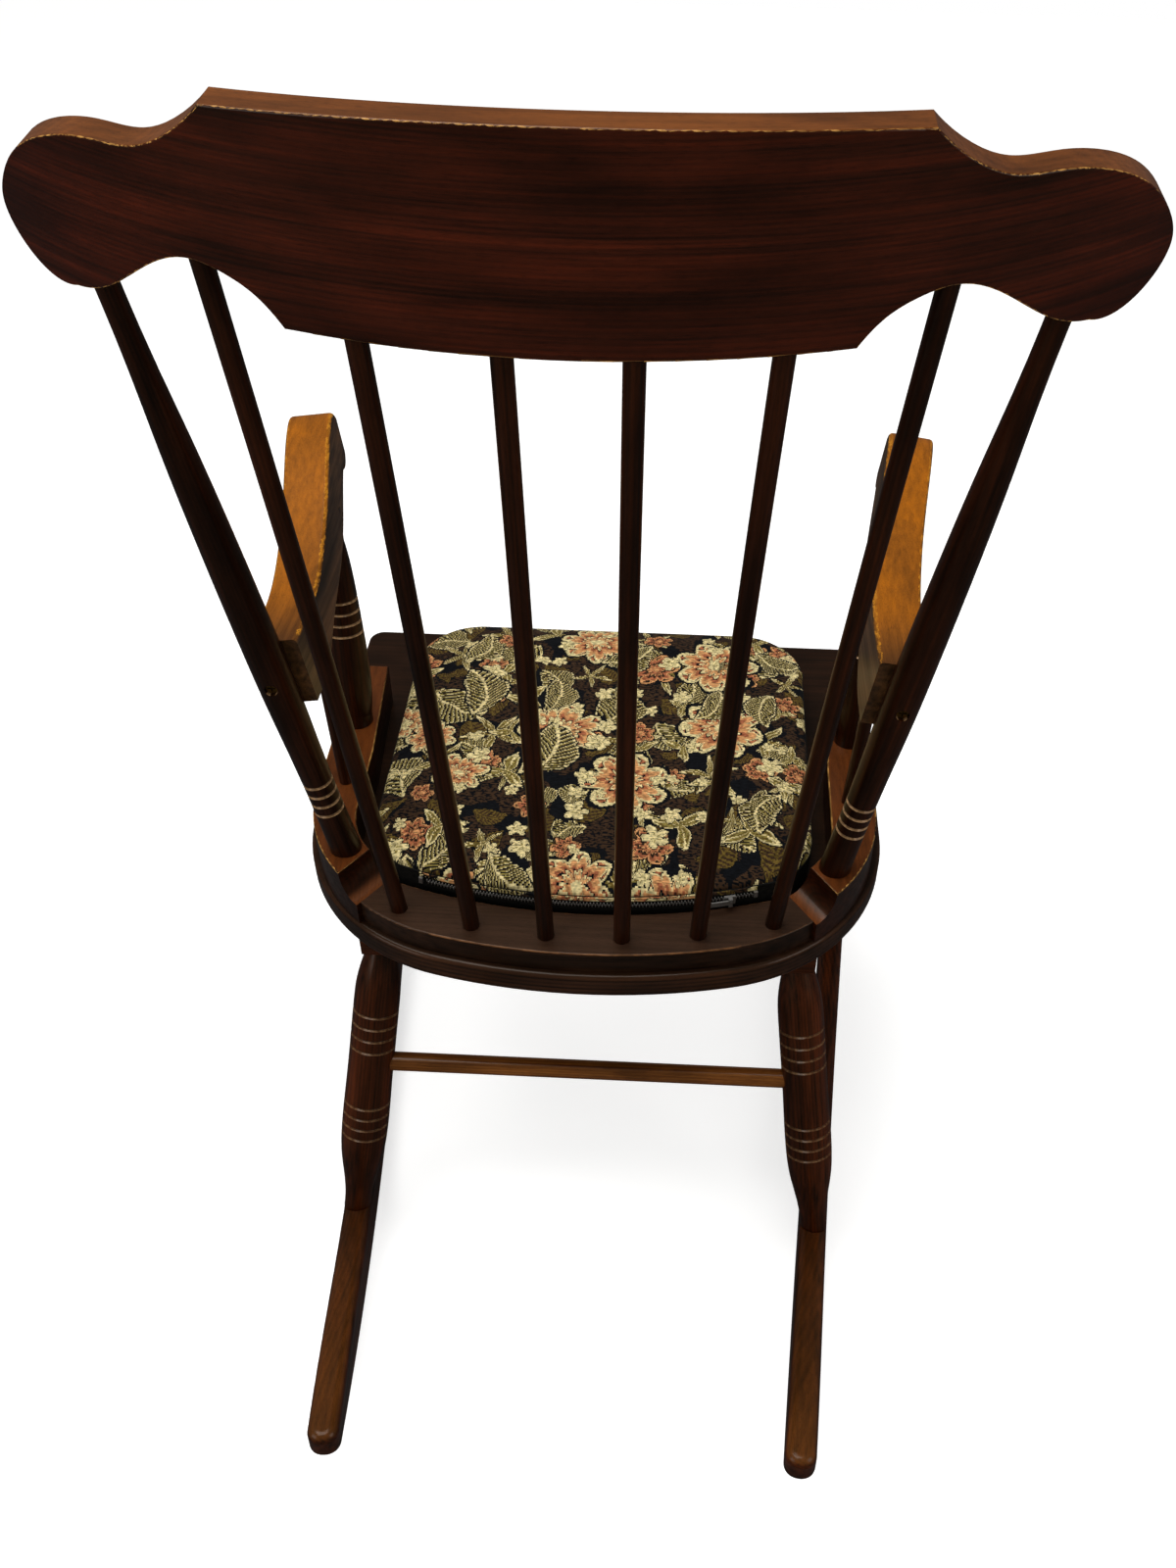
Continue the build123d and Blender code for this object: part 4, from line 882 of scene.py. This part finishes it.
class CHAIR_OT_seat(bpy.types.Operator):
    """Dresses the seat board, its rim and the side blocks"""

    bl_idname = "chair.seat"
    bl_label = "Seat"

    def execute(self, context):
        wood = context.scene.chair_wood
        # layers glued flat and cut round: a dull dark board whose edge shows fine level lines,
        # with the stain thinned along the arris, a pale line that is partly a painted highlight
        board = stained_wood(
            "stained_laminated_seat_board", wood.seat_dark, wood.seat_light,
            wood.seat_light, wood.worn_dark, layered=True, gloss=0.38, line=0.5, rings=0.8,
        )
        # bent beech, handled least: a black brown outer face holding painted shade, under a
        # greyish dull top painted paler as lit from above
        rim = stained_wood(
            "stained_beech_seat_rim", wood.rim_dark, wood.rim_light,
            wood.rim_rubbed, wood.worn_dark, gloss=0.36, line=0.4,
        )
        # an orange top, painted as lit from above, over sides as dark as the posts, which hold
        # painted shade
        blocks = stained_wood(
            "stained_beech_side_blocks", wood.turned_dark, wood.turned_light,
            wood.block_rubbed, wood.worn, gloss=0.34,
        )
        dress(
            ["seat_board"], board, "seat_wood", 70, along=(1, 0, 0), across=SeatFrame.normal
        )
        dress(["seat_rear_rim"], rim, "block_wood", 71, rub=1.0, along=(1, 0, 0))
        dress(
            ["side_block_left", "side_block_right"], blocks, "block_wood", 72, rub=1.0,
            rub_lean=(0.8, 0.97), along=(0, 1, 0),
        )
        return {"FINISHED"}


class CHAIR_OT_base(bpy.types.Operator):
    """Dresses the bearers, legs, stretchers and rockers"""

    bl_idname = "chair.base"
    bl_label = "Legs and rockers"

    def execute(self, context):
        wood = context.scene.chair_wood
        # a browner coat than the back's: legs with streaks along them and faint groove rings on
        # the up-facing sides, partly a painted highlight, rockers whose tops turn golden brown
        # towards the rear ends
        finish = stained_wood(
            "brown_stained_beech_base", wood.leg_dark, wood.leg_light,
            wood.stretcher_light, wood.groove_worn, gloss=0.33,
        )
        # one thin coat: straight golden brown dowels, the palest wood of the base
        golden = stained_wood(
            "golden_brown_beech_stretchers", wood.leg_light, wood.stretcher_light,
            wood.stretcher_light, wood.worn, gloss=0.33,
        )
        legs = ["%s_leg_%s" % (end, side) for end in ("rear", "front") for side in SIDES]
        rockers = ["rocker_" + side for side in SIDES]
        dress(legs, finish, "leg_wood", 80, turned=True, groove=0.3)
        dress(["rear_bearer", "front_bearer"], finish, "leg_wood", 90)
        dress(["rear_stretcher", "front_stretcher"], golden, "leg_wood", 92)
        dress(rockers, finish, "leg_wood", 95, rub=0.6, rub_run=(50 * MM, 500 * MM))
        return {"FINISHED"}


class CHAIR_OT_screws(bpy.types.Operator):
    """Gives the screws their metals"""

    bl_idname = "chair.screws"
    bl_label = "Screws"

    def execute(self, context):
        # old brass: brownish yellow heads without a sharp glint
        brass = plain_metal("dulled_brass_screws", colour("#8a6a35"), 0.42)
        # zinc plate: light grey and a little brighter, hidden under the seat
        steel = plain_metal("zinc_plated_steel_screws", colour("#9a9a96"), 0.35)
        refinish(["arm_screws"], brass)
        refinish(["block_screws", "bearer_screws"], steel)
        return {"FINISHED"}


class CHAIR_OT_cushion(bpy.types.Operator):
    """Fills the cushion, sews its seams and covers it in tapestry"""

    bl_idname = "chair.cushion"
    bl_label = "Cushion"

    # heights over the seat board
    TOP_SEAM = 31 * MM
    FOOT_SEAM = 5 * MM
    FOOT_BAND = 6 * MM
    TOP_LIMIT = 44.3 * MM
    REST_LEVEL = 0.45 * MM
    # front and back end along the board, and how much of its height the pad has there
    # before it is filled
    SPAN = (-176 * MM, 172 * MM)
    FLATTEN = (0.82, 0.94)
    # the cloth held by a seam: how far in from the side and to either side of the seam
    SEWN_DEPTH = 7 * MM
    SEWN_HALF = 3.5 * MM
    PRESSURE = 4.0
    FILL_STEPS = 20
    SHRINK_REACH = 30 * MM
    # how wide a seam draws the side in, and the least room between side and neighbours
    SEAM_SPREAD = 3 * MM
    SIDE_ROOM = 0.6 * MM
    PIPING_RADIUS = 0.9 * MM

    def fill(self, piece, settings, outline):
        """Presses the pad out from inside while its seams stay where they are sewn."""
        measures, _, inside = outline.measure(piece)
        level = measures[:, 2]
        at_seam = (np.abs(level - self.TOP_SEAM) < self.SEWN_HALF) | (level < self.FOOT_BAND)
        sewn = np.flatnonzero((inside < self.SEWN_DEPTH) & at_seam)
        piece.vertex_groups.new(name="seams").add([int(v) for v in sewn], 1.0, "REPLACE")
        start = places(piece.data).astype(float)
        bpy.ops.object.modifier_add(type="CLOTH")
        cloth = piece.modifiers[-1]
        cloth.settings.use_pressure = True
        cloth.settings.uniform_pressure_force = self.PRESSURE
        cloth.settings.effector_weights.gravity = 0.0
        cloth.settings.vertex_group_mass = "seams"
        cloth.settings.quality = 4
        for step in range(1, self.FILL_STEPS + 1):
            bpy.context.scene.frame_set(step)
        bpy.ops.object.modifier_apply(modifier=cloth.name)
        bpy.context.scene.frame_set(1)
        piece.vertex_groups.clear()
        moved = places(piece.data) - start
        reach = np.linalg.norm(moved, axis=1)
        moved *= np.minimum(1, settings.cap / np.maximum(reach, 1e-9))[:, None]
        move_points(piece, start + moved)

    def crown(self, piece, outline):
        measures, _, inside = outline.measure(piece)
        top = measures[:, 2] > self.TOP_SEAM - 2 * MM
        measures[:, 2] += np.where(top, 9 * MM * smooth_step(inside, 0, 90 * MM), 0)
        move_points(piece, SeatFrame.place(*measures.T))

    def settle(self, piece, outline, settings):
        """Keeps the pad between its neighbours, flat on the seat, drawn in at the seams."""
        measures, nearest, inside = outline.measure(piece)
        level = measures[:, 2]
        pull = sum(
            np.exp(-((level - seam) / self.SEAM_SPREAD) ** 2)
            for seam in (self.TOP_SEAM, self.FOOT_SEAM)
        )
        shift = np.maximum(settings.seam_depth * pull + self.SIDE_ROOM - inside, 0)
        measures[:, :2] -= outline.normals[nearest] * shift[:, None]
        measures[:, 2] = np.clip(level, self.REST_LEVEL, self.TOP_LIMIT)
        move_points(piece, SeatFrame.place(*measures.T))

    def lay_cloth(self, piece, outline):
        """Cloth coordinates: across and along on top, round and up on the side band."""
        mesh = piece.data
        measures, nearest, _ = outline.measure(piece)
        over = measures[:, 2] - self.TOP_SEAM
        write_attribute(mesh, "over_seam", "POINT", over)
        vertex = read(mesh.loops, "vertex_index")
        corners = measures[vertex].copy()
        whole = outline.run[-1] + outline.run[1]
        round_run = outline.run[nearest][vertex]
        for face in mesh.polygons:
            span = slice(face.loop_start, face.loop_start + face.loop_total)
            if over[vertex[span]].mean() < 0:
                run = round_run[span]
                corners[span, 0] = np.where(run - run.min() > whole / 2, run - whole, run)
                corners[span, 1] = measures[vertex[span], 2]
        corners[:, 2] = 0
        write_attribute(mesh, "cloth", "CORNER", corners)

    def piping(self, piece, outline, cloth, level, name):
        """A thin corded seam round the pad, half sunk into its side."""
        deselect()
        bpy.ops.curve.primitive_bezier_circle_add()
        ring = bpy.context.object
        ring.name = name
        ring.data.splines.clear()
        spline = ring.data.splines.new("POLY")
        spline.use_cyclic_u = True
        chosen, normals = outline.points[::3], outline.normals[::3]
        # the pad's side is found from outside, and the cord's line is smoothed along it
        stand_off = 5 * MM
        levels = np.full(len(chosen), level)
        outside = SeatFrame.place(*(chosen + normals * stand_off).T, levels)
        inward = SeatFrame.place(*(chosen - normals).T, levels) - outside
        insets = []
        for start, way in zip(outside, inward):
            hit, place, _, _ = piece.ray_cast(Vector(start), Vector(way).normalized())
            insets.append((place - Vector(start)).length - stand_off if hit else 0)
        insets = np.array(insets) + 0.3 * self.PIPING_RADIUS
        insets = sum(np.roll(insets, turn) for turn in (-2, -1, 0, 1, 2)) / 5
        chosen = chosen - normals * np.maximum(insets, self.PIPING_RADIUS)[:, None]
        points = SeatFrame.place(*chosen.T, levels)
        spline.points.add(len(points) - 1)
        spline.points.foreach_set("co", np.column_stack([points, np.ones(len(points))]).ravel())
        ring.data.dimensions = "3D"
        ring.data.bevel_depth = self.PIPING_RADIUS
        ring.data.bevel_resolution = 2
        bpy.ops.object.convert(target="MESH")
        bpy.ops.object.shade_smooth()
        ring = bpy.context.object
        ring.data.materials.append(cloth)
        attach(ring, "cushion")

    def execute(self, context):
        settings = context.scene.chair_cushion
        piece = copied("cushion", "cushion")
        piece.name = "cushion_pad"
        outline = Outline(piece)
        bpy.ops.object.mode_set(mode="EDIT")
        bpy.ops.mesh.select_all(action="SELECT")
        bpy.ops.mesh.remove_doubles(threshold=0.01 * MM)
        bpy.ops.object.mode_set(mode="OBJECT")
        bpy.ops.mesh.customdata_custom_splitnormals_clear()
        apply_modifier(piece, "REMESH", mode="VOXEL", voxel_size=settings.voxel)
        # the slack pad: its sides stand further in, and it is thinner, than when filled
        measures, nearest, inside = outline.measure(piece)
        drawn_in = settings.shrink * np.clip(1 - inside / self.SHRINK_REACH, 0, 1)
        measures[:, :2] -= outline.normals[nearest] * drawn_in[:, None]
        flatten = np.interp(measures[:, 1], self.SPAN, self.FLATTEN)
        measures[:, 2] = np.maximum(measures[:, 2], 1 * MM) * flatten
        move_points(piece, SeatFrame.place(*measures.T))
        self.fill(piece, settings, outline)
        apply_modifier(piece, "SMOOTH", factor=0.5, iterations=1)
        apply_modifier(piece, "SUBSURF", levels=1, render_levels=1)
        self.settle(piece, outline, settings)
        self.lay_cloth(piece, outline)
        bpy.ops.object.shade_smooth()
        piece.data.materials.append(tapestry_cloth(settings))
        # dark plied cord under tight cloth: a thin matt line that closes each seam
        cord = woven_trim("corded_seam_cloth", settings.band, 0.6 * MM)
        self.piping(piece, outline, cord, self.TOP_SEAM, "cushion_top_piping")
        self.piping(piece, outline, cord, self.FOOT_SEAM, "cushion_foot_piping")
        return {"FINISHED"}


class CHAIR_OT_zip(bpy.types.Operator):
    """Makes the zip's teeth and gives the zip its metals and tape"""

    bl_idname = "chair.zip"
    bl_label = "Zip"

    # the curve the teeth stand on, from its centre on the board's middle line
    CENTRE_ALONG = -278.5 * MM
    TEETH_RADIUS = 452.3 * MM
    HALF_ANGLE = math.radians(16.4)
    LEVEL = 28 * MM
    # the top cloth laps over the tape from here, and bends over at the shoulder
    COVERED_FROM = 31 * MM
    SHOULDER = 34 * MM
    TOOTH_HEIGHT = 2.5 * MM
    TOOTH_DEPTH = 1.4 * MM
    TOOTH_WIDTH_SHARE = 0.31
    ROW_OFFSET_SHARE = 0.36
    TOOTH_ROUND = 0.25 * MM

    def cover_tape(self):
        """The tape is bare beside the teeth; above it the top cloth laps over it."""
        tape = copied("zip_tape", "cushion")
        across, along, over = SeatFrame.measure(places(tape.data)).T
        write_attribute(tape.data, "over_seam", "POINT", over - self.COVERED_FROM)
        cloth = np.column_stack([across, along + self.SHOULDER - over, np.zeros(len(over))])
        write_attribute(tape.data, "cloth", "POINT", cloth)
        tape.data.materials.append(bpy.data.materials["floral_jacquard_tapestry"])

    def tooth_row(self, side, pitch, count):
        """A straight row of teeth, above or below the zip's middle line."""
        bpy.ops.mesh.primitive_cube_add(
            size=1,
            location=(side * pitch / 4, 0, side * self.ROW_OFFSET_SHARE * self.TOOTH_HEIGHT),
            scale=(self.TOOTH_WIDTH_SHARE * pitch, self.TOOTH_DEPTH, self.TOOTH_HEIGHT),
        )
        row = bpy.context.object
        bpy.ops.object.transform_apply(location=True, rotation=True, scale=True)
        apply_modifier(row, "BEVEL", width=self.TOOTH_ROUND, segments=2)
        apply_modifier(
            row, "ARRAY", count=count, use_relative_offset=False,
            use_constant_offset=True, constant_offset_displace=(pitch, 0, 0),
        )
        return row

    def execute(self, context):
        # nickel plate on die cast teeth, rubbed dull: a broken grey line, not a bright one
        nickel = plain_metal("nickel_plated_zip_teeth", colour("#a19e98"), 0.42, 0.85)
        refinish(["zip_stops", "zip_slider", "zip_tab"], nickel)
        self.cover_tape()
        pitch = context.scene.chair_cushion.tooth_pitch
        count = int(2 * self.HALF_ANGLE * self.TEETH_RADIUS / pitch)
        deselect()
        rows = [self.tooth_row(side, pitch, count) for side in (1, -1)]
        for row in rows:
            row.select_set(True)
        bpy.context.view_layer.objects.active = rows[0]
        bpy.ops.object.join()
        teeth = bpy.context.object
        teeth.name = "zip_teeth"
        # the straight rows are laid round the cushion's rear curve
        points = places(teeth.data).astype(float)
        angle = (points[:, 0] - count * pitch / 2) / self.TEETH_RADIUS
        radius = self.TEETH_RADIUS + points[:, 1]
        move_points(teeth, SeatFrame.place(
            radius * np.sin(angle),
            self.CENTRE_ALONG + radius * np.cos(angle),
            self.LEVEL + points[:, 2],
        ))
        bpy.ops.object.shade_smooth_by_angle(angle=math.radians(40))
        teeth.data.materials.append(nickel)
        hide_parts("zip_chain")
        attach(teeth, "cushion")
        return {"FINISHED"}


class CHAIR_OT_stage(bpy.types.Operator):
    """Makes the floor, the lamps and the camera"""

    bl_idname = "chair.stage"
    bl_label = "Stage"

    IMAGE_WIDTH = 1200
    IMAGE_HEIGHT = 1600
    FOCAL_PIXELS = 1491.5
    AXIS_PIXEL = (661.9, 808.1)
    SENSOR = 36.0
    PLACE = Vector((-0.0669, 0.9299, 1.1339))
    YAW = math.radians(1.454)
    PITCH = math.radians(37.65)
    ROLL = math.radians(1.457)
    LAMPS_AIM = Vector((0, 0, 0.4))

    def add_camera(self, scene):
        """The camera stands behind the chair and looks down on it."""
        deselect()
        bpy.ops.object.camera_add()
        camera = bpy.context.object
        camera.name = "camera"
        look = Vector((
            math.sin(self.YAW) * math.cos(self.PITCH),
            -math.cos(self.YAW) * math.cos(self.PITCH),
            -math.sin(self.PITCH),
        ))
        level = Vector((-math.cos(self.YAW), -math.sin(self.YAW), 0))
        upright = level.cross(look)
        right = level * math.cos(self.ROLL) + upright * math.sin(self.ROLL)
        up = upright * math.cos(self.ROLL) - level * math.sin(self.ROLL)
        turn = Matrix((right, up, -look)).transposed()
        camera.matrix_world = Matrix.Translation(self.PLACE) @ turn.to_4x4()
        camera.data.sensor_width = self.SENSOR
        camera.data.lens = self.SENSOR * self.FOCAL_PIXELS / self.IMAGE_HEIGHT
        camera.data.shift_x = (self.IMAGE_WIDTH / 2 - self.AXIS_PIXEL[0]) / self.IMAGE_HEIGHT
        camera.data.shift_y = (self.AXIS_PIXEL[1] - self.IMAGE_HEIGHT / 2) / self.IMAGE_HEIGHT
        camera.data.clip_start = 10 * MM
        scene.camera = camera

    def add_lamp(self, name, place, size, power):
        """A square soft lamp that looks at the seat."""
        deselect()
        bpy.ops.object.light_add(type="AREA", location=place)
        lamp = bpy.context.object
        lamp.name = name
        lamp.rotation_euler = (self.LAMPS_AIM - Vector(place)).to_track_quat("-Z", "Y").to_euler()
        lamp.data.size = size
        lamp.data.energy = power

    def add_floor(self, settings):
        """A pale floor that keeps the chair's shadow."""
        deselect()
        bpy.ops.mesh.primitive_plane_add(size=12)
        floor = bpy.context.object
        floor.name = "floor"
        # matt emulsion on a smooth floor: even and pale, white to the camera, and dim
        # in the lacquer's mirror image, as the surroundings are
        paint, add = new_material("pale_studio_floor")
        rays = add("LightPath").node.outputs
        tone = add(
            "Mix", {0: rays["Is Glossy Ray"], 6: settings.floor, 7: colour("#4a4a4a")}, 2,
            data_type="RGBA",
        )
        matt = add("BsdfDiffuse", {"Color": tone, "Roughness": 0.5})
        lift = add("Math MULTIPLY", [rays["Is Camera Ray"], 0.6])
        glow = add("Emission", {"Color": (1, 1, 1, 1), "Strength": lift})
        add("OutputMaterial", {"Surface": add("AddShader", [matt, glow])})
        floor.data.materials.append(paint)

    def light_world(self, scene):
        """Plain pale surroundings, white where the camera sees them."""
        world = bpy.data.worlds.new("studio")
        scene.world = world
        world.use_nodes = True
        world.node_tree.nodes.clear()
        add = functools.partial(put, world.node_tree)
        rays = add("LightPath").node.outputs
        direct = add("Math MAXIMUM", [rays["Is Camera Ray"], rays["Is Transmission Ray"]])
        level = add("MapRange", {"Value": direct, "To Min": 0.42, "To Max": 1.0})
        # mirrored surroundings are dim, so that dark lacquer stays dark
        mirrored = rays["Is Glossy Ray"]
        dimmed = add("MapRange", {"Value": mirrored, "To Min": 1.0, "To Max": 0.2})
        level = add("Math MULTIPLY", [level, dimmed])
        sky = add("Background", {"Color": (1, 1, 1, 1), "Strength": level})
        add("OutputWorld", {"Surface": sky})

    def execute(self, context):
        scene = context.scene
        settings = scene.chair_stage
        self.add_camera(scene)
        self.add_floor(settings)
        self.light_world(scene)
        self.add_lamp("key_lamp", (0.5, 0.2, 2.6), 1.6, settings.key_power)
        self.add_lamp("left_fill", (2.0, 1.6, 1.2), 1.2, settings.fill_power)
        self.add_lamp("right_fill", (-2.0, 1.2, 1.4), 1.2, settings.fill_power)
        scene.view_settings.view_transform = "Standard"
        return {"FINISHED"}


class CHAIR_PT_panel(bpy.types.Panel):
    """The chair's settings and steps"""

    bl_idname = "CHAIR_PT_panel"
    bl_label = "Rocking Chair"
    bl_space_type = "VIEW_3D"
    bl_region_type = "UI"
    bl_category = "Rocking Chair"

    def draw(self, context):
        for holder, _ in GROUPS:
            group = getattr(context.scene, holder)
            box = self.layout.box()
            for name in group.bl_rna.properties.keys():
                if name not in ("rna_type", "name"):
                    box.prop(group, name)
        for step in STEPS:
            self.layout.operator(step.bl_idname)


STEPS = (
    CHAIR_OT_crest,
    CHAIR_OT_sticks,
    CHAIR_OT_arms,
    CHAIR_OT_seat,
    CHAIR_OT_base,
    CHAIR_OT_screws,
    CHAIR_OT_cushion,
    CHAIR_OT_zip,
    CHAIR_OT_stage,
)
GROUPS = (
    ("chair_wood", ChairWoodSettings),
    ("chair_cushion", ChairCushionSettings),
    ("chair_stage", ChairStageSettings),
)


def register():
    """Makes the settings, operators and panel known to Blender."""
    for name, group in GROUPS:
        bpy.utils.register_class(group)
        setattr(bpy.types.Scene, name, bpy.props.PointerProperty(type=group))
    for step in STEPS:
        bpy.utils.register_class(step)
    bpy.utils.register_class(CHAIR_PT_panel)


def unregister():
    """Takes them out again, in the opposite order."""
    bpy.utils.unregister_class(CHAIR_PT_panel)
    for step in reversed(STEPS):
        bpy.utils.unregister_class(step)
    for name, group in reversed(GROUPS):
        delattr(bpy.types.Scene, name)
        bpy.utils.unregister_class(group)


def main():
    """Registers the add-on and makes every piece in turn."""
    register()
    for step in STEPS:
        group, name = step.bl_idname.split(".")
        getattr(getattr(bpy.ops, group), name)()


if __name__ == "__main__":
    main()
